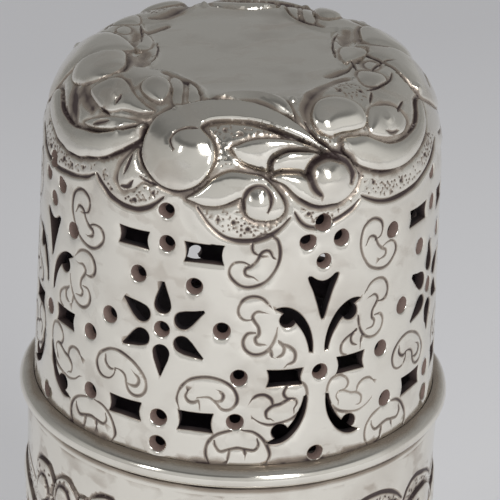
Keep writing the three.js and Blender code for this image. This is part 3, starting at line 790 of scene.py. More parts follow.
def engrave_wall(chasing):
    sheet = chasing.sheet

    def strokes(drawing, axis, side, low, high):
        for given in drawing:
            line = curve(given, LINE_STEP) * (side, 1)
            line[:, 1] += drift(line[:, 1], low, high)
            chasing.line(sheet.side(line, axis), LINE_WIDTH, LINE_DEPTH, LINE_DIRT, LINE_TAPER)

    for axis, low, high in STAR_PANELS:
        strokes(ARCH_KIDNEY, axis, 1, low, high)
        strokes(LEFT_KIDNEY, axis, 1, low, high)
    for axis, low, high in LEAF_PANELS:
        for side in (1, -1):
            strokes(SIDE_SCROLL, axis, side, low, high)
            strokes(LOWER_SCROLL, axis, side, low, high)
            strokes(UPPER_KIDNEY, axis, side, low, high * TOP_DRIFT)
    for axis, _ in LOWER_DOTS:
        strokes(FOOT_KIDNEY, axis + FOOT_KIDNEY_TURN, 1, 0, 0)


# Chased scrolls of the dome, drawn from above: across, and towards the front, from its middle.
# The list is one half of the ring, and the other half is the same turned about.

RELIEF_EDGE = [
    (-20.7, 3.2), (-21, 5.3), (-21, 7.5), (-20.6, 8.9), (-19.8, 10.6), (-18.9, 12.1), (-18, 13.2),
    (-16.9, 14.2), (-15.6, 15), (-14.75, 15.5), (-14.5, 16.6), (-13.9, 17.8), (-13, 18.9),
    (-12, 19.7), (-10.8, 20.35), (-9.5, 20.6), (-8.3, 20.5), (-7.2, 20.1), (-6.2, 19.9),
    (-5.4, 20.5), (-4.75, 21.2), (-4.4, 22.2), (-3.4, 23.2), (-2.2, 23.95), (-0.7, 24.3),
    (0.6, 24.35), (2, 24.2), (3.2, 23.8), (4.3, 23.1), (5, 22.3), (5.6, 21.6), (6.4, 22),
    (7.4, 22.2), (8.8, 21.9), (10.1, 21), (11.2, 19.9), (12.1, 18.7), (12.5, 17.8), (13.2, 17.5),
    (14.5, 17), (15.9, 16), (17, 14.8), (18, 13.4), (18.8, 11.8), (19.3, 10), (19.6, 8.3),
    (19.6, 6.6), (19.6, 5.2), (20.3, 3.6), (20.8, 1.6), (20.9, 0), (20.8, -1.6),
]
FIELD_EDGE = [
    (-8.4, -2.9), (-7.7, -1.3), (-7.25, 0.6), (-7.1, 2.6), (-7.3, 4.6), (-7.75, 5.75), (-6.6, 5.7),
    (-5.4, 6.5), (-4.3, 7.8), (-3.4, 9.3), (-2.9, 10.8), (-2.6, 11.9), (-1.5, 11.2), (0.3, 10.75),
    (1.9, 10.95), (3.3, 11.5), (4.1, 11.8), (4.5, 10.6), (5.2, 9.2), (6.1, 7.8), (7.1, 6.7),
    (8.2, 6), (9, 5.9), (8.7, 4.3), (8.4, 2.2), (8.4, 0.4), (8.8, -1.4), (9.3, -2.6),
]
RIM_LINES = [
    [(-14.5, 14.95), (-15.5, 14.6), (-16.65, 13.8), (-17.6, 12.85), (-18.4, 11.9), (-19.15, 10.9),
     (-19.7, 9.9), (-20.1, 8.8), (-20.4, 7.5), (-20.3, 6.3), (-20.1, 5), (-20, 3.6)],
    [(-14.1, 15.1), (-13.95, 15.8), (-13.65, 16.7), (-13.3, 17.5), (-12.6, 18.4), (-11.8, 19.1),
     (-10.7, 19.75), (-9.5, 20), (-8.4, 19.9), (-7.5, 19.65)],
    [(-4.2, 21), (-3.7, 21.7), (-3.2, 22.4), (-2.5, 23.05), (-1.7, 23.55), (-0.7, 23.85),
     (0.4, 23.92), (1.7, 23.8), (2.8, 23.45), (3.7, 22.95), (4.5, 22.25), (5.05, 21.5)],
    [(5.5, 20.9), (6.3, 21.5), (7.3, 21.7), (8.5, 21.4), (9.6, 20.6), (10.6, 19.7), (11.4, 18.7),
     (11.85, 17.7)],
    [(12, 17.3), (12.9, 17.1), (14.2, 16.6), (15.5, 15.7), (16.6, 14.5), (17.5, 13.2),
     (18.3, 11.7), (18.8, 10), (19, 8.5), (18.9, 7), (18.7, 5.6)],
    [(19.2, 4), (19.9, 2.2), (20.1, 0.3), (19.9, -1.6)],
]
# Each form: its level, its height, its rounded edge, the groove round it, its outline, and how
# steeply it leans where it does
FORMS = [
    # Between the field and the left scroll
    (0.15, 0.45, 1.5, 0.14, [(-14.3, 5.4), (-13.3, 6.4), (-12, 6.85), (-10.6, 6.75), (-9.9, 6),
     (-9.9, 4), (-10.1, 2.5), (-11, 1.6), (-12.5, 1.5), (-14.1, 2), (-14.8, 3.3), (-14.8, 4.5)]),
    (0.1, 0.3, 0.8, 0.13, [(-8.4, -2.3), (-9.3, -1.6), (-10.3, -0.3), (-10.2, 0.8), (-9.2, 1.3),
     (-8.2, 1.2), (-7.9, 0), (-8, -1.3)]),
    (0.1, 0.35, 0.6, 0.13, [(-12.9, 7.6), (-11.4, 7.3), (-10.2, 7.6), (-9.4, 8.8), (-8.8, 10.4),
     (-7.9, 11.8), (-7.2, 12.6), (-8.4, 12.4), (-9.9, 11.4), (-11.3, 10.9), (-12.3, 9.6)]),
    (0.1, 0.25, 1.2, 0.14, [(-14, 10.2), (-12.2, 10.9), (-10.2, 12), (-8.2, 13.3), (-8, 13.8),
     (-9.6, 13.2), (-11.6, 12.4), (-13.2, 11.5)]),
    (0, 0.12, 0.35, 0.14, [(-5.9, 7.3), (-5.2, 7.9), (-4.9, 9.4), (-4.9, 11.2), (-5, 12.3),
     (-5.7, 12.2), (-5.9, 10.5), (-6.1, 8.6)]),
    (0, 0.12, 0.35, 0.14, [(-4.5, 8.6), (-3.9, 9.6), (-3.6, 11), (-3.5, 12.1), (-4.4, 12.2),
     (-4.5, 10.5)]),
    (0.15, 0.5, 1.1, 0.13, [(-8.3, 9.2), (-7.8, 8.4), (-7, 8.2), (-6.3, 8.7), (-5.95, 9.8),
     (-6, 11), (-6.5, 11.9), (-7.2, 11.6), (-7.9, 10.8), (-8.3, 10)]),
    # Left scroll and the leaf that hangs in the scallop under it
    (0.15, 0.42, 0.8, 0.22, [(-8, 13.5), (-8.6, 14.5), (-10.3, 14.7), (-11.5, 14.6), (-12.6, 14.4),
     (-13.6, 13.9), (-14.5, 13.3), (-15.5, 12.65), (-16.3, 11.7), (-16.9, 10.9), (-17.3, 10),
     (-17.8, 8.8), (-18, 7.4), (-18.2, 5.9), (-18.2, 4.6), (-17.8, 3.2), (-16.9, 2.9), (-16.3, 3.8),
     (-16.3, 5.2), (-16.3, 6.6), (-15.9, 8.2), (-15.2, 9.7), (-14.1, 10.9), (-12.9, 11.9),
     (-11.6, 12.6), (-10.2, 13.1), (-8.8, 13.4)]),
    (0.05, 0.35, 1.2, 0.14, [(-9, 15.1), (-10.4, 15.4), (-11.6, 16.1), (-12, 17), (-11.6, 17.8),
     (-10.4, 18.1), (-9.3, 17.9), (-8.4, 18.4), (-8.3, 17.4), (-8.9, 16.3)]),
    # Beside the right scroll
    (0.15, 0.35, 1.4, 0.14, [(9.4, -1.6), (9.7, -0.2), (10.6, 1.4), (11.9, 2.7), (13.3, 3.6),
     (14.6, 3.95), (15.5, 4), (16.6, 3), (17.7, 1.8), (18.4, 0.5), (18.9, -1), (17.5, -2.2),
     (14, -2.6), (11, -2.4)]),
    (0.1, 0.2, 1.2, 0.14, [(10, 2.6), (10.5, 2.2), (11.1, 2.7), (11.2, 3.6), (10.8, 4.3), (10.2, 4.2),
     (9.9, 3.4)]),
    (0.1, 0.3, 1.2, 0.14, [(9.4, 4.9), (10.3, 4.7), (11.4, 4.9), (11.7, 5.7), (11.1, 6.8), (10.2, 7.5),
     (9.6, 7.3), (9.3, 6.2)]),
    (0.1, 0.3, 1.2, 0.14, [(10.3, 10.2), (11.4, 9), (12.8, 8.2), (14.2, 8.4), (14.3, 9.6),
     (13.5, 10.7), (12.3, 11.7), (10.8, 12.1)]),
    (0.15, 0.42, 0.9, 0.22, [(8.3, 14.5), (9.2, 15), (10.4, 15.25), (11.7, 15), (13, 14.45),
     (14.4, 13.4), (15.5, 12.1), (16.3, 10.5), (16.7, 9), (16.8, 7.5), (16.5, 6.2), (15.9, 5.1),
     (15.2, 4.6), (14.9, 5.4), (15.2, 6.6), (15.3, 8), (14.8, 9.5), (14, 10.9), (12.9, 11.9),
     (11.6, 12.4), (10.4, 12.7), (9.3, 13.3), (8.5, 13.8)]),
    (0.15, 0.75, 1.7, 0.14, [(5.5, 12.3), (5.9, 11.3), (6.9, 10.5), (8.2, 10.15), (9.4, 10.35),
     (10.2, 11.2), (10.1, 12.1), (9.2, 12.9), (8.2, 13.5), (7.4, 14.1), (6.4, 14.1), (5.6, 13.4)]),
    # Front: the bulge under the field, then the great scroll with its volute on the left
    (0.1, 0.4, 0.6, 0.22, [(2.7, 18.65), (3.4, 18.05), (4.4, 17.8), (5.2, 17.7), (5.95, 17.85),
     (5.95, 16.9), (6.3, 16.05), (7.1, 15.45), (8.1, 15.15), (9.2, 15.1), (10, 15.45), (10.8, 15.9),
     (11, 16.8), (10.6, 17.9), (9.8, 18.8), (9, 19.25), (8, 19.7), (7.1, 19.85), (6.1, 19.75),
     (5.15, 19.5), (4, 18.95)]),
    (0.15, 0.45, 0.9, 0.22, [(-0.9, 16.5), (-0.4, 16.3), (0.5, 15.95), (1.6, 15.7), (3.3, 15.5),
     (5, 15.4), (6.6, 15.4), (6.9, 15.7), (5.6, 16.1), (4.6, 16.3), (3.6, 16.6), (2.8, 17),
     (2.5, 17.5), (2.6, 18.1), (1.8, 18.15), (0.9, 18), (0.1, 17.7), (-0.4, 17.2)], 0.42),
    (0.25, 0.45, 0.8, 0.22, [(2.75, 17.2), (3.7, 16.5), (4.8, 16.2), (6, 15.95), (6.8, 15.95),
     (6.2, 16.6), (6.05, 17.2), (6.1, 17.7), (5.2, 17.65), (4.4, 17.75), (3.4, 17.95), (2.8, 18.1)], 0.5),
    (0.1, 0.4, 0.7, 0.22, [(-5.2, 20.1), (-4.3, 19.8), (-3.5, 19.4), (-3, 19.1), (-2.5, 18.8),
     (-1.7, 18.5), (-0.7, 18.3), (0.7, 18.4), (1.7, 18.5), (2.6, 18.9), (3.3, 19.4), (4, 20),
     (4.4, 20.6), (4.4, 21.1), (4, 21.6), (3.3, 21.95), (2.5, 22.1), (1.6, 22.1), (0.8, 21.8),
     (0.35, 21.1), (0.1, 20.4), (-0.65, 20.65), (-1.5, 20.95), (-2.5, 21.05), (-3.6, 20.9),
     (-4.4, 20.55)]),
    (0.15, 0.45, 0.28, 0.22, [(8.6, 15.45), (6.5, 15.05), (5.3, 14.4), (4.1, 13.85), (2.8, 13.3),
     (1.5, 12.85), (0.1, 12.5), (-1.3, 12.35), (-3.3, 12.4), (-5.4, 12.7), (-6.9, 13.1), (-7.8, 13.9),
     (-8.4, 14.8), (-8.75, 15.7), (-8.7, 16.5), (-8.5, 17.1), (-8, 18), (-7.3, 18.7), (-6.5, 19.15),
     (-5.7, 19.4), (-4.9, 19.45), (-4.1, 19.3), (-3.4, 18.95), (-2.9, 18.5), (-2.5, 17.9),
     (-2.25, 17.2), (-2.25, 16.5), (-2.5, 15.8), (-3, 15.2), (-3.3, 14.75), (-2.6, 14.35),
     (-1.3, 14.25), (0, 14.3), (1.5, 14.45), (3, 14.8), (4.5, 15.1), (6.3, 15.4), (8, 15.7)]),
]
# The bulge between the field and the great scroll
BULGE = [
    (-2.9, 12.4), (-2.2, 11.6), (-1.1, 11.1), (0.3, 10.85), (1.9, 11.05), (3.1, 11.6), (3.8, 12.6),
    (3.9, 13.8), (0.5, 13.2), (-2.2, 13),
]
# Soft swellings on the forms: middle, radius, height
MOUNDS = [
    (-5.2, 17, 3.3, 0.42), (-4.4, 15.9, 2, 0.35), (8.1, 17.3, 1.6, 0.45), (1.75, 20.75, 1.15, 0.35),
    (-10.6, 12.85, 0.5, 0.25), (-10.35, 9.75, 0.6, 0.25), (6.9, 14.6, 0.55, 0.4),
    (8.35, 14.4, 0.5, 0.4), (12.3, 9.9, 0.6, 0.15), (14.8, 3.6, 0.6, 0.25), (-8.35, 13.7, 0.6, 0.35),
    (-5.3, 12.6, 0.5, 0.3), (3.9, 11.4, 0.5, 0.4), (2.1, 18.5, 0.5, 0.25),
]
CREASES = [
    (0.3, [(-5.6, 16.2), (-5.8, 15.5), (-5.3, 15), (-4.5, 14.85), (-3.6, 14.95)]),
    (0.5, [(-13, 11.1), (-12.2, 11.4), (-11.4, 11.7)]),
    (0.4, [(12.3, 11.1), (13, 10.8), (13.5, 10.2)]),
    (0.95, [(7.6, 18.9), (6.8, 18.55), (6.2, 17.8), (6.1, 17), (6.5, 16.3), (7.3, 15.75), (8.3, 15.5),
            (9.3, 15.6), (10, 16.1), (10.2, 16.9)]),
    (0.45, [(0.5, 21.2), (0.35, 20.5), (0.7, 19.75), (1.4, 19.35), (2.2, 19.4), (2.8, 19.9),
            (2.95, 20.6), (2.75, 21.2)]),
    (0.4, [(1, 14.5), (2.3, 14.75), (3.8, 15.15)]),
    (0.4, [(-13.9, 11), (-12.9, 11.85), (-11.6, 12.55)]),
    (0.3, [(-12, 10.1), (-11.3, 11.2)]),
    (0.3, [(-10.5, 10.7), (-9.9, 10.2)]),
    (0.3, [(-9.7, 15.45), (-10.3, 16.1), (-10.9, 16.6)]),
    (0.4, [(-11.7, 17.35), (-10.9, 17.7), (-10.2, 17.45)]),
    (0.35, [(-9.35, 17.4), (-8.8, 18), (-8, 18.5)]),
    (0.4, [(-16.3, -0.8), (-15.9, 0.6), (-15.5, 2.3)]),
    (0.3, [(-12.3, -1.8), (-11.4, -2.5), (-10.5, -4.5)]),
    (0.3, [(13.4, 7), (13.2, 7.8), (13, 8.5)]),
    (0.3, [(12.2, 3.9), (12, 5.3), (11.3, 6.5), (10.7, 7.5), (10.1, 8.1)]),
    (0.3, [(10.4, 8.3), (10.3, 9.5)]),
    (0.35, [(5, 13.5), (5.5, 14.2), (6.5, 14.85), (7.6, 15.1)]),
    (0.4, [(9.6, -0.2), (10.6, 1.4), (11.9, 2.75), (13.3, 3.65), (14.6, 4.1), (15.5, 4.2)]),
    (0.25, [(-7.6, -1), (-7.4, 1), (-7.5, 3), (-7.9, 4.6)]),
    (0.3, [(8.9, 0.2), (8.95, 2.2), (9.2, 4.4)]),
]
# Wide tarnished hollows: width, depth, line
HOLLOWS = [
    (1.3, 0.3, [(8.4, 6.7), (7.5, 7.2), (6.6, 8.2), (5.9, 9.6), (5.3, 11), (4.95, 12.4), (5.2, 13.5)]),
    (1, 0.3, [(-6.6, 6.5), (-5.7, 7.2), (-4.8, 8.3), (-4, 9.7), (-3.5, 11.2)]),
    (1.5, 0.3, [(-8.4, 1.9), (-8.5, 3.4), (-8.7, 5.4)]),
    (1.1, 0.3, [(9.5, -0.6), (9.5, 1), (9.4, 2.6)]),
    (0.9, 0.3, [(-8.9, -3.2), (-8, -4.3), (-6.9, -5.6)]),
    (1.1, 0.1, [(-11.7, 1), (-10.3, 1.7), (-9.6, 4.1), (-9.9, 6.6)]),
    (1.3, 0.12, [(-14.4, 4.3), (-14.7, 6.8), (-14.9, 9.2)]),
    (1.5, 0.08, [(-13.6, 6.6), (-13.3, 8.4), (-12.9, 9.6)]),
]
# Hollow under the crest of the bulge, and the tarnish that lies in it
CREST_HOLLOW = [
    (-2, 12.75), (-0.8, 12.3), (0.5, 12.15), (1.8, 12.4), (2.9, 12.95), (3.6, 13.8), (2.4, 14),
    (0.2, 13.4),
]
CREST_TARNISH = [(-1.5, 12.75), (-0.4, 12.4), (0.8, 12.4), (2, 12.75), (3.1, 13.4)]
STIPPLED = [
    [(-3.9, 21.3), (-3, 22.3), (-1.6, 23.3), (0.4, 23.6), (2.4, 23.3), (4, 22.4), (4.9, 21.2),
     (4.6, 20.7), (2, 22.3), (0.2, 21.4), (-1.5, 21.2), (-3, 21.2)],
    [(-13.7, 15.3), (-13.3, 16.7), (-12.4, 18.1), (-11, 19.2), (-9.5, 19.7), (-7.9, 19.5),
     (-7.7, 18.8), (-8.6, 17.6), (-9.1, 16), (-9.6, 17.2), (-10.5, 18), (-11.9, 18),
     (-12.7, 16.6), (-12.4, 15.2)],
    [(-14.4, 14.6), (-16.4, 13.6), (-18.1, 11.7), (-19.5, 9.4), (-20, 7), (-19.7, 4.6),
     (-18.6, 4.6), (-18.4, 7.2), (-17.8, 9.6), (-16.6, 11.9), (-14.9, 13.6), (-13.6, 14.2)],
    [(11.9, 17), (13.9, 16.4), (15.7, 15), (17.2, 13), (18.2, 11), (18.6, 8.4), (18.4, 5.8),
     (17.3, 6), (17.2, 8), (16.8, 10.2), (15.8, 12.6), (14.2, 14.4), (12.4, 15.4), (11, 15.8)],
    [(5.7, 20.7), (7.2, 21.4), (8.8, 21), (10.2, 19.6), (11.2, 18.2), (11.5, 16.6), (10.9, 16.4),
     (10.6, 18.3), (9.4, 19.5), (7.6, 20.2), (6, 20.1), (5.2, 20)],
    [(-2.9, 15.1), (-1.6, 14.6), (1, 14.7), (3.2, 15.2), (0.6, 15.7), (-0.9, 16.2), (-1.1, 17),
     (-0.6, 17.8), (-1.9, 18.1), (-2.2, 17.6), (-2, 16.4)],
    [(7.2, 8.6), (8.2, 7.6), (9.4, 7.9), (10, 8.9), (9.8, 9.9), (8.2, 9.8), (6.9, 10.1)],
]
PLAN_STEP = 0.22
GROUND_RISE = 0.22
GROUND_SLOPE = 0.7
FIELD_SLOPE = 0.3
# Dents of the stippled ground: spacing, radius, depth, dirt. The fine first set's dirt is partly tarnish
# in the dents and partly a painted dark reflection over the ground
STIPPLES = [(0.4, 0.13, 0.04, 1.2), (1.5, 0.26, 0.1, 1.6)]
RIM_LINE = (0.5, 0.2, 1.3, 0.4)  # width, depth, dirt, and how much the ends taper
HOLLOW_LINE = (0.9, 0.3)  # dirt, and how much the ends taper
CREASE_LINE = (1.3, 0.5)  # the same
CREASE_DEPTH = 0.1  # and a sixth of its width
GROOVE_DIRT = 5  # dirt in the groove round a form, beside its depth
BULGE_FRONT, BULGE_BACK = 0.65, 0.2  # how far the bulge of each half of the dome rises
BULGE_LEVEL, BULGE_EDGE, BULGE_GROOVE = 0.1, 1.3, 0.16
CREST_SLOPE = 0.65
CREST_WIDTH, CREST_TAPER = 0.8, 0.3
# Beside a bulge's rise: dirt in its groove, depth of its hollow and dirt in the hollow
BULGE_DIRT, CREST_DEPTH, CREST_DIRT = 1.5, 0.9, 1.7


def closed_path(plan, outline):
    return plan(curve(outline, PLAN_STEP, closed=True))


def open_path(plan, line):
    return plan(curve(line, PLAN_STEP))


def raise_bulge(chasing, plan, rise):
    """The bulge beside the field, with a tarnished hollow under its crest."""
    bulge = closed_path(plan, BULGE)
    chasing.pad(bulge, BULGE_LEVEL, rise, BULGE_EDGE, BULGE_GROOVE, BULGE_DIRT * rise)
    chasing.swell(closed_path(plan, CREST_HOLLOW), -CREST_DEPTH * rise, CREST_SLOPE)
    chasing.line(open_path(plan, CREST_TARNISH), CREST_WIDTH, 0, CREST_DIRT * rise, CREST_TAPER)


def chase_scrolls(chasing, plan):
    """Half of a ring of scrolls, put on the sheet by a function that places points of the drawing."""
    # Stippled grounds: tarnish in the dents, and the fine set's painted dark reflection
    for outline in STIPPLED:
        for dents in STIPPLES:
            chasing.stipple(closed_path(plan, outline), *dents)
    for line in RIM_LINES:
        chasing.line(open_path(plan, line), *RIM_LINE)
    for width, depth, line in HOLLOWS:
        chasing.line(open_path(plan, line), width, depth, *HOLLOW_LINE)
    for level, height, edge, groove, outline, *lean in FORMS:
        path = closed_path(plan, outline)
        chasing.pad(path, level, height, edge, groove, GROOVE_DIRT * groove, *lean)
    for x, y, radius, height in MOUNDS:
        chasing.mound(plan(np.array([(x, y)])), radius, height)
    for width, line in CREASES:
        chasing.line(open_path(plan, line), width, CREASE_DEPTH + width / 6, *CREASE_LINE)


# The cover

DOME_ROWS, WALL_ROWS, SKIRT_ROWS = 3000, 400, 20  # corners of its profile
END_STEP = 0.9  # spacing of mesh points near the plain ends of a sheet
RELIEF_STEP = 0.3
WALL_STEP = 0.6
FIELD_END = 7  # how far from the middle the field's wider spacing goes
RELIEF_END = 20  # height above the moulding where the relief ends


def both_halves(half):
    return half + [(-x, -y) for x, y in half]


def cover_sheet():
    rise = np.sin(np.linspace(math.pi / 2, 0, DOME_ROWS))
    r = SHOULDER_RADIUS * (1 - rise**DOME_HEIGHT_POWER) ** (1 / DOME_RADIUS_POWER)
    share = np.clip((r - FIELD_RADIUS) / (EMBOSS_END - FIELD_RADIUS), 0, 1)
    z = SHOULDER + DOME_RISE * rise + EMBOSS_RISE * np.sin(math.pi * share) ** 2
    down = np.linspace(0, 1, WALL_ROWS)[1:]
    wall_r = SHOULDER_RADIUS + WALL_TAPER * down
    wall_z = SHOULDER + (WALL_FOOT - SHOULDER) * down
    skirt_z = np.linspace(WALL_FOOT, COVER_FOOT, SKIRT_ROWS)[1:]
    skirt_r = np.full(len(skirt_z), COVER_RADIUS)
    return TurnedSheet(np.concatenate([r, wall_r, skirt_r]), np.concatenate([z, wall_z, skirt_z]))


def pierced_cover():
    sheet = cover_sheet()
    chasing = Chasing(sheet)
    chasing.swell(closed_path(sheet.plan, both_halves(RELIEF_EDGE)), GROUND_RISE, GROUND_SLOPE)
    chasing.swell(closed_path(sheet.plan, both_halves(FIELD_EDGE)), -GROUND_RISE, FIELD_SLOPE)
    for side, rise in ((1, BULGE_FRONT), (-1, BULGE_BACK)):

        def plan(points):
            return sheet.plan(points * side)

        raise_bulge(chasing, plan, rise)
        chase_scrolls(chasing, plan)
    engrave_wall(chasing)
    # Down the profile: from where to where, and the spacing of the mesh points
    relief_end, wall_end = sheet.down_to(WALL_FOOT + RELIEF_END), sheet.down_to(WALL_FOOT)
    dense = [
        (0.6, FIELD_END, END_STEP), (FIELD_END, relief_end, RELIEF_STEP),
        (relief_end, wall_end, WALL_STEP), (wall_end, sheet.s[-1] - 0.2, END_STEP),
    ]
    plain = [(0.6, 10, 2.0), (10, sheet.s[-1] - 0.3, 1.2)]
    sawn, drilled = wall_cuts(sheet)
    piece = chased_sheet(
        "cover_pierced_shell", sheet, chasing, sawn, drilled, dense, plain, WALL_FOOT, COVER_FILM)
    return finish_piece(piece, "cover", "cover_silver", "cover_shell")


# The chased wall of the pot: two rings of the same scrolls, one hanging and one standing

FRIEZE_TURN = 41
FRIEZE_SHARE = 0.6  # height of its scrolls beside the dome's
FRIEZE_EDGE = 24.35  # how far the drawing of the dome reaches from its middle
HANGING_TOP = 49
STANDING_FOOT = 12.6
BODY_ROWS = 500
FRIEZE_STEP = 0.32  # spacing of mesh points
FRIEZES = (2.2, 38.8)  # down the wall, from where to where they go
LOBE_STEP = 0.5  # degrees and millimetres
# A lobe and the leaf on it: level, height, rounded edge, groove, dirt
LOBE = (0.1, 0.4, 0.7, 0.2, 1.1)
LOBE_LEAF = (0.35, 0.45, 0.5, 0.2, 1.1)
LOBE_DENTS = (0.7, 0.15, 0.1, 1.5)  # spacing, radius, depth, dirt
# Small lobes above the hanging ring on the left: degrees from the front, and height
LEFT_LOBES = [
    [(-66.5, 44.2), (-66.3, 46.2), (-65.3, 47.5), (-63, 47.9), (-59.9, 48.05), (-57.8, 47.85),
     (-55.9, 47.15), (-54.9, 46.3), (-55.6, 45.2), (-57.2, 44.4), (-61, 43.9)],
    [(-55, 45.2), (-54.2, 46.9), (-53, 47.5), (-50.8, 47.95), (-49, 48.05), (-47.6, 47.85),
     (-46.6, 47.55), (-45.2, 47.1), (-44, 46.5), (-43.4, 45.3), (-48, 44.6)],
    [(-44.3, 45.2), (-43.6, 46.9), (-42.3, 47.2), (-41.2, 47.05), (-40.5, 46.2), (-41.5, 45)],
    [(-40.6, 45.2), (-39.3, 47.4), (-37.8, 47.85), (-35.5, 48.2), (-33.6, 48.3), (-31.8, 48.1),
     (-30, 47.3), (-29.3, 45.8), (-34, 44.8)],
]
LOBE_LEAVES = [
    [(-63, 45.95), (-61.4, 46.6), (-59.6, 46.55), (-58.2, 46), (-57.5, 45.3), (-58.2, 44.6),
     (-61.9, 43.9), (-63.5, 44.5), (-63.9, 45.2)],
    [(-53.2, 45.3), (-52.4, 46.6), (-50.6, 47.1), (-48.6, 46.9), (-47.2, 46.1), (-46.9, 45.2),
     (-50, 44.8)],
]


def lobe_path(sheet, outline):
    line = curve(outline, LOBE_STEP, closed=True)
    return sheet.flat(sheet.down_to(line[:, 1]), np.radians(line[:, 0]))


def chased_body():
    heights = np.linspace(BODY_TOP, BODY_FOOT, BODY_ROWS)
    sheet = TurnedSheet(np.full(len(heights), BODY_RADIUS), heights)
    chasing = Chasing(sheet, FRIEZE_SHARE)
    for end, way in ((HANGING_TOP, 1), (STANDING_FOOT, -1)):
        for side in (1, -1):

            def plan(points):
                points = points * side
                reach = np.hypot(points[:, 0], points[:, 1])
                angle = way * np.arctan2(points[:, 0], points[:, 1]) + math.radians(FRIEZE_TURN)
                return sheet.flat(sheet.down_to(end + way * (reach - FRIEZE_EDGE)), angle)

            raise_bulge(chasing, plan, BULGE_FRONT)
            chase_scrolls(chasing, plan)
    for outline in LEFT_LOBES:
        path = lobe_path(sheet, outline)
        chasing.pad(path, *LOBE)
        chasing.stipple(path, *LOBE_DENTS)
    for outline in LOBE_LEAVES:
        chasing.pad(lobe_path(sheet, outline), *LOBE_LEAF)
    # Down the profile: from where to where, and the spacing of the mesh points
    start, end = FRIEZES
    dense = [(0.3, start, END_STEP), (start, end, FRIEZE_STEP), (end, sheet.s[-1] - 0.3, END_STEP)]
    plain = [(0.5, sheet.s[-1] - 0.5, 2)]
    piece = chased_sheet(
        "body_chased_wall", sheet, chasing, [], [], dense, plain, BODY_TOP, BODY_FILM)
    return finish_piece(piece, "pot", "body_silver", "body_wall")


# Plain turned pieces

RING_STEPS = 14
RIM_STEPS = 9
COVE_STEPS = 24
# darkness in a ring's joints: tarnish, and painted shade
RING_TARNISH_AND_SHADE = 0.8
BORE_REACH = 0.1  # how far out the middle of a face of the sleeve's bore can lie
FLOOR_HOLE = 0.2  # radius left open in the middle of the floor, since a turned ring has a hole
WIRE_FLAT = 1.1  # width of the foot wire's flat top and underside


def half_round(foot, top, inner, outer, steps=RING_STEPS):
    middle, reach = (foot + top) / 2, (top - foot) / 2
    turn = np.linspace(-math.pi / 2, math.pi / 2, steps)
    return [(inner + (outer - inner) * math.cos(t), middle + reach * math.sin(t)) for t in turn]


def ring_tarnish_and_shade(profile, top, foot=0):
    """Tarnish and painted shade in the joints of a half round ring, gathered over parts of its height at
    its top and its foot.
    """
    share = np.linspace(0, 1, len(profile))
    return RING_TARNISH_AND_SHADE * (np.clip(1 - (1 - share) / top, 0, 1) + (share < foot))


def finish_piece(piece, body, slot, *nodes):
    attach(piece, body)
    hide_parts(*nodes)
    return piece


def moulding_ring():
    profile = half_round(COVER_FOOT, WALL_FOOT, COVER_RADIUS + WIRE_SEAT, MOULDING_RADIUS)
    piece = turned("cover_moulding_ring", profile, ring_tarnish_and_shade(profile, 0.42, 0.1))
    return finish_piece(piece, "cover", "wire_silver", "cover_moulding")


def sleeve_liner():
    """The sleeve, whose outside the mouth of the pot has rubbed, and whose bore is as it was made."""
    bore = SLEEVE_RADIUS - SLEEVE_SHEET
    waist = SLEEVE_FOOT + (BODY_TOP - SLEEVE_FOOT) / 4
    profile = [
        (bore - SLEEVE_LEAD, SLEEVE_FOOT), (SLEEVE_RADIUS - SLEEVE_LEAD, SLEEVE_FOOT),
        (SLEEVE_RADIUS, waist), (SLEEVE_RADIUS, SLEEVE_TOP), (bore, SLEEVE_TOP), (bore, waist),
    ]
    piece = turned("cover_sleeve_liner", profile)
    for polygon in piece.data.polygons:
        inner = math.hypot(*polygon.center[:2]) < (bore + BORE_REACH) * MM
        polygon.material_index = INSIDE if inner else OUTSIDE
    return finish_piece(piece, "cover", "inner_silver", "cover_sleeve")


def rim_wire():
    profile = half_round(RIM_FOOT, RIM_TOP, BODY_RADIUS + WIRE_SEAT, RIM_RADIUS, RIM_STEPS)
    piece = turned("body_rim_wire", profile, ring_tarnish_and_shade(profile, 0.3))
    return finish_piece(piece, "pot", "wire_silver", "body_rim")


def base():
    profile = [
        (FLOOR_HOLE, FLOOR_FOOT), (FLOOR_RADIUS, FLOOR_FOOT), (FLOOR_RADIUS, FLOOR_TOP),
        (FLOOR_HOLE, FLOOR_TOP),
    ]
    return finish_piece(turned("body_base", profile), "pot", "inner_silver", "body_floor")


def collar_ring():
    profile = half_round(COLLAR_FOOT, COLLAR_TOP, BODY_RADIUS + WIRE_SEAT, COLLAR_RADIUS)
    piece = turned("foot_collar_ring", profile, ring_tarnish_and_shade(profile, 0.2))
    return finish_piece(piece, "pot", "wire_silver", "foot_collar")


def cove():
    """The spun foot: a quarter hollow that spreads to its edge, and a flange under the floor."""
    neck = BODY_RADIUS - FOOT_NECK
    spread = FOOT_RADIUS - neck
    low = FOOT_FOOT + SHEET
    fall = FOOT_TOP - FLANGE_FALL - low
    turn = np.linspace(math.pi / 2, 0, COVE_STEPS)
    outside = [(neck + spread * (1 - math.cos(t)), low + fall * (1 - math.sin(t))) for t in turn]
    inside = [(r - SHEET * math.cos(t), z - SHEET * math.sin(t)) for (r, z), t in zip(outside, turn)]
    flange = [(neck, FOOT_TOP), (neck - FLANGE_WIDTH, FOOT_TOP), (neck - FLANGE_WIDTH, FOOT_TOP - SHEET)]
    profile = [(outside[0][0], FOOT_FOOT)] + outside + flange + inside[::-1]
    return finish_piece(turned("foot_cove", profile), "pot", "body_silver", "foot")


def edge_wire():
    inner = WIRE_RADIUS - WIRE_WIDTH
    round_side = half_round(WIRE_FOOT, WIRE_TOP, inner + WIRE_FLAT, WIRE_RADIUS)
    profile = [(inner, WIRE_FOOT)] + round_side + [(inner, WIRE_TOP)]
    return finish_piece(turned("foot_edge_wire", profile), "pot", "wire_silver", "foot_wire")


# Materials

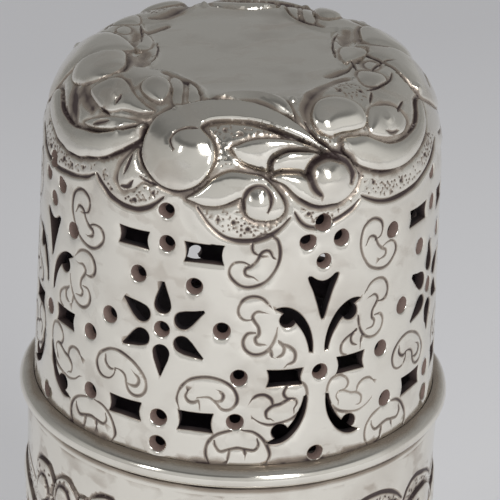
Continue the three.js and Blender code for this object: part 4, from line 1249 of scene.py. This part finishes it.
HAZE_SIZE = 6  # millimetres across the cloudy patches left by polish and handling
SCRATCH_SIZE = 0.25  # spacing of the fine scratches, drawn coarser than they are so that they show
SCRATCH_DEPTH = 0.05
SCRATCH_STRENGTH = 0.06
PATCH_LESS, PATCH_MORE = -0.3, 0.5  # how much less and more dirt shows from patch to patch
HAZE_TARNISH = 0.16  # thin tarnish in the cloudiest patches
TARNISH_FROM, TARNISH_FULL = 0.25, 1.3  # dirt from which it shows, and from which it is all dark
TARNISH_ROUGHNESS = 0.35
THIN_AT = 0.35  # how much tarnish is still thin and pinkish


def linear(colour):
    """An sRGB hex colour as linear RGBA."""
    parts = [int(colour[i : i + 2], 16) / 255 for i in (1, 3, 5)]
    return [p / 12.92 if p <= 0.04045 else ((p + 0.055) / 1.055) ** 2.4 for p in parts] + [1]


def add(tree, kind, links=None, sockets=None, stops=(), **settings):
    """Adds a node. Settings name its properties, and stops are a colour ramp's places and colours.
    Sockets have a number or a name, and a link comes from a socket or from a node's first output."""
    node = tree.nodes.new(kind)
    for key, value in settings.items():
        setattr(node, key, value)
    for key, value in (sockets or {}).items():
        node.inputs[key].default_value = value
    for i, (place, colour) in enumerate(stops):
        stop = node.color_ramp.elements[i] if i < 2 else node.color_ramp.elements.new(place)
        stop.position = place
        stop.color = colour
    for key, source in (links or {}).items():
        socket = source.outputs[0] if isinstance(source, bpy.types.Node) else source
        tree.links.new(socket, node.inputs[key])
    return node


def silver(name, clean, thin, stain, rough, worn, metal=1.0):
    """Old sterling silver with the given colours where it is clean, thinly tarnished and dark, and
    the given roughness where it is bright and where handling has clouded it. Brown tarnish and
    painted shade go where the piece's tarnish_and_shade attribute says, and fine scratches break
    up the highlights."""
    material = bpy.data.materials.new(name)
    material.use_nodes = True
    tree = material.node_tree
    place = add(tree, "ShaderNodeTexCoord").outputs["Object"]
    haze = add(tree, "ShaderNodeTexNoise", {"Vector": place}, {"Scale": 1000 / HAZE_SIZE, "Detail": 5})
    scratch = add(
        tree, "ShaderNodeTexNoise", {"Vector": place}, {"Scale": 1000 / SCRATCH_SIZE, "Detail": 3})
    tarnish_and_shade = add(tree, "ShaderNodeAttribute", attribute_name="tarnish_and_shade").outputs["Fac"]
    patchy = add(tree, "ShaderNodeMapRange", {"Value": haze},
                 {"From Min": 0.3, "From Max": 0.7, "To Min": PATCH_LESS, "To Max": PATCH_MORE})
    clouded = add(tree, "ShaderNodeMath", {0: tarnish_and_shade, 1: patchy, 2: tarnish_and_shade}, operation="MULTIPLY_ADD")
    dark = add(tree, "ShaderNodeMapRange", {"Value": clouded},
               {"From Min": TARNISH_FROM, "From Max": TARNISH_FULL})
    faint = add(tree, "ShaderNodeMapRange", {"Value": haze},
                {"From Min": 0.5, "From Max": 0.8, "To Max": HAZE_TARNISH})
    film = add(tree, "ShaderNodeMath", {0: dark, 1: faint}, operation="MAXIMUM")
    polish = add(tree, "ShaderNodeMapRange", {"Value": haze},
                 {"From Min": 0.3, "From Max": 0.75, "To Min": rough, "To Max": worn})
    rougher = add(tree, "ShaderNodeMapRange", {"Value": dark}, {"To Max": TARNISH_ROUGHNESS})
    finish = {
        "Base Color": add(tree, "ShaderNodeValToRGB", {0: film},
                          stops=[(0, linear(clean)), (THIN_AT, linear(thin)), (1, linear(stain))]),
        "Metallic": add(tree, "ShaderNodeMapRange", {"Value": dark},
                        {"To Min": metal, "To Max": metal / 4}),
        "Roughness": add(tree, "ShaderNodeMath", {0: polish, 1: rougher}, operation="ADD"),
        "Normal": add(tree, "ShaderNodeBump", {"Height": scratch},
                      {"Strength": SCRATCH_STRENGTH, "Distance": SCRATCH_DEPTH * MM}),
    }
    shader = tree.nodes["Principled BSDF"]
    for socket, source in finish.items():
        tree.links.new(source.outputs[0], shader.inputs[socket])
    return material


def dress(pieces):
    # Sheet, chased and polished by hand: a warm mirror, a little hazy, with brown in every groove
    sheet = silver("hand_chased_polished_silver", "#F1EDE3", "#B1A598", "#463938", 0.1, 0.2)
    # Drawn wire, polished: smoother than the sheet, so its highlights are long and sharp
    wire = silver("drawn_polished_silver_wire", "#F1EDE3", "#A89C8E", "#453A35", 0.09, 0.16)
    # Walls of the cuts, as the saw and the drill left them: matt, brown and nearly without shine
    edges = silver("sawn_silver_edge", "#86726A", "#5C4C49", "#211A1D", 0.6, 0.75, 0.1)
    # Inside of the sheet, never polished: dull and grey, and darkened further with painted shade so that
    # the holes look dark
    inside = silver("unpolished_silver_inside_painted_shade", "#7E767A", "#6E666C", "#5C5259", 0.45, 0.55, 0.3)
    # Sleeve, rubbed by the mouth of the pot: clean, with a soft sheen
    rubbed = silver("rubbed_silver_sleeve", "#DDD7CC", "#A3988B", "#4A3D3A", 0.2, 0.34)
    own = {"cover_sleeve_liner": rubbed, "body_base": inside}
    for piece in pieces:
        drawn = piece.name.endswith(("_wire", "_ring"))
        for finish in (own.get(piece.name, wire if drawn else sheet), inside, edges):
            piece.data.materials.append(finish)


# Studio

FLOOR_REACH = 3000
# Paper colours with light painted on: painted shade far back, a painted pool of light near the front
PAPER_PAINTED_SHADE_FAR, PAPER_PAINTED_LIGHT_NEAR = "#DCDCDF", "#FCFCFE"
PAINTED_LIGHT_WAY = (0.34, -0.94, 0)  # the way in which the painted light on the paper grows
PAINTED_LIGHT_FROM, PAINTED_LIGHT_FULL_AT = -0.22, 0.03  # metres along it
PAPER_ROUGHNESS, PAPER_SHINE = 0.9, 0.1
# Softboxes: name, degrees round from the front, degrees up, size, radiance
LAMPS = [
    ("left_softbox", -42, 24, (80, 170), 6),
    ("right_softbox", 27, 31, (160, 310), 7),
]
LAMP_DISTANCE = 650
# The room as the silver sees it, at the front and at the back: sine of the height above the
# horizon, and brightness
ROOM_FRONT = [(0, 0.57), (0.3, 0.54), (0.5, 0.52), (0.62, 0.14), (0.72, 0.14), (0.82, 0.24)]
ROOM_BACK = [(0, 0.38), (0.17, 0.28), (0.4, 0.27), (0.6, 0.22), (1, 0.25)]
FRONT_END, BACK_START = -0.35, 0.4  # how far to the back a direction points, from -1 to 1
ROOM_SIDE = 0.18  # how much brighter its right side is than its middle
ROOM_PLAIN = 0.52  # what lights the table and stands behind it


def grey(tone):
    return (tone, tone, tone, 1)


def table():
    """Matt white paper with light painted on it, so that it grows paler towards the front, as in the
    photo.
    """
    paper = bpy.data.materials.new("matt_white_paper_painted_light")
    paper.use_nodes = True
    tree = paper.node_tree
    shader = tree.nodes["Principled BSDF"]
    place = add(tree, "ShaderNodeTexCoord").outputs["Object"]
    toward_painted_light = add(tree, "ShaderNodeVectorMath", {0: place}, {1: PAINTED_LIGHT_WAY}, operation="DOT_PRODUCT")
    share = add(tree, "ShaderNodeMapRange", {"Value": toward_painted_light.outputs["Value"]},
                {"From Min": PAINTED_LIGHT_FROM, "From Max": PAINTED_LIGHT_FULL_AT})
    tone = add(tree, "ShaderNodeValToRGB", {0: share},
               stops=[(0, linear(PAPER_PAINTED_SHADE_FAR)), (1, linear(PAPER_PAINTED_LIGHT_NEAR))])
    tree.links.new(tone.outputs[0], shader.inputs["Base Color"])
    shader.inputs["Roughness"].default_value = PAPER_ROUGHNESS
    shader.inputs["Specular IOR Level"].default_value = PAPER_SHINE
    mesh = bpy.data.meshes.new("studio_table")
    reach = FLOOR_REACH * MM
    corners = [(-reach, -reach, 0), (reach, -reach, 0), (reach, reach, 0), (-reach, reach, 0)]
    mesh.from_pydata(corners, [], [(0, 1, 2, 3)])
    mesh.materials.append(paper)
    put("studio_table", mesh)


def softboxes():
    middle = Vector((0, 0, SHOULDER))
    for name, around, up, size, radiance in LAMPS:
        data = bpy.data.lights.new(name, "AREA")
        data.shape = "RECTANGLE"
        data.size, data.size_y = size[0] * MM, size[1] * MM
        data.energy = radiance * math.pi * data.size * data.size_y
        lamp = put(name, data)
        around, up = math.radians(around), math.radians(up)
        way = Vector((math.sin(around) * math.cos(up), -math.cos(around) * math.cos(up), math.sin(up)))
        lamp.location = (middle + way * LAMP_DISTANCE) * MM
        lamp.rotation_euler = way.to_track_quat("Z", "Y").to_euler()


def room():
    """A plain grey room, in which the silver sees a paler front and a darker back."""
    world = bpy.data.worlds.new("soft_room")
    bpy.context.scene.world = world
    world.use_nodes = True
    tree = world.node_tree
    way = add(tree, "ShaderNodeSeparateXYZ", {0: add(tree, "ShaderNodeTexCoord").outputs["Generated"]})
    front, behind = (
        add(tree, "ShaderNodeValToRGB", {0: way.outputs["Z"]},
            stops=[(place, grey(tone)) for place, tone in stops])
        for stops in (ROOM_FRONT, ROOM_BACK)
    )
    turn = add(tree, "ShaderNodeMapRange", {"Value": way.outputs["Y"]},
               {"From Min": FRONT_END, "From Max": BACK_START}, interpolation_type="SMOOTHSTEP")
    both = add(tree, "ShaderNodeMix", {"Factor": turn, "A": front, "B": behind}, data_type="RGBA")
    side = add(tree, "ShaderNodeMath", {0: way.outputs["X"]}, {1: ROOM_SIDE, 2: 1.0},
               operation="MULTIPLY_ADD")
    mirrored = tree.nodes["Background"]
    tree.links.new(both.outputs["Result"], mirrored.inputs["Color"])
    tree.links.new(side.outputs[0], mirrored.inputs["Strength"])
    bare = add(tree, "ShaderNodeBackground", sockets={"Color": grey(ROOM_PLAIN)})
    ray = add(tree, "ShaderNodeLightPath").outputs["Is Glossy Ray"]
    seen = add(tree, "ShaderNodeMixShader", {0: ray, 1: bare, 2: mirrored})
    tree.links.new(seen.outputs[0], tree.nodes["World Output"].inputs["Surface"])


# Camera, from the photograph's perspective

LENS = 158.4
SENSOR = 36
NEAREST = 0.01  # metres
CAMERA_DISTANCE = 199.59
CAMERA_RISE = 0.4869  # radians above the level of the wall's foot
CAMERA_YAW, CAMERA_PITCH, CAMERA_ROLL = 0.0054, -0.0519, -0.0385


def camera():
    back = Vector((0, -math.cos(CAMERA_RISE), math.sin(CAMERA_RISE)))
    right = Vector((1, 0, 0))
    level = Matrix((right, back.cross(right), back))
    turn = Matrix.Rotation(CAMERA_ROLL, 3, "Z") @ Matrix.Rotation(CAMERA_PITCH, 3, "X")
    turn = turn @ Matrix.Rotation(CAMERA_YAW, 3, "Y") @ level
    data = bpy.data.cameras.new("photo_camera")
    data.lens = LENS
    data.sensor_width = SENSOR
    data.clip_start = NEAREST
    thing = put("photo_camera", data)
    at = back * CAMERA_DISTANCE + Vector((0, 0, WALL_FOOT))
    thing.matrix_world = Matrix.Translation(at * MM) @ turn.transposed().to_4x4()
    bpy.context.scene.camera = thing


camera()
table()
softboxes()
room()
dress([
    pierced_cover(), chased_body(), moulding_ring(), sleeve_liner(), rim_wire(), base(), collar_ring(),
    cove(), edge_wire(),
])
bpy.context.scene.view_settings.view_transform = "Standard"
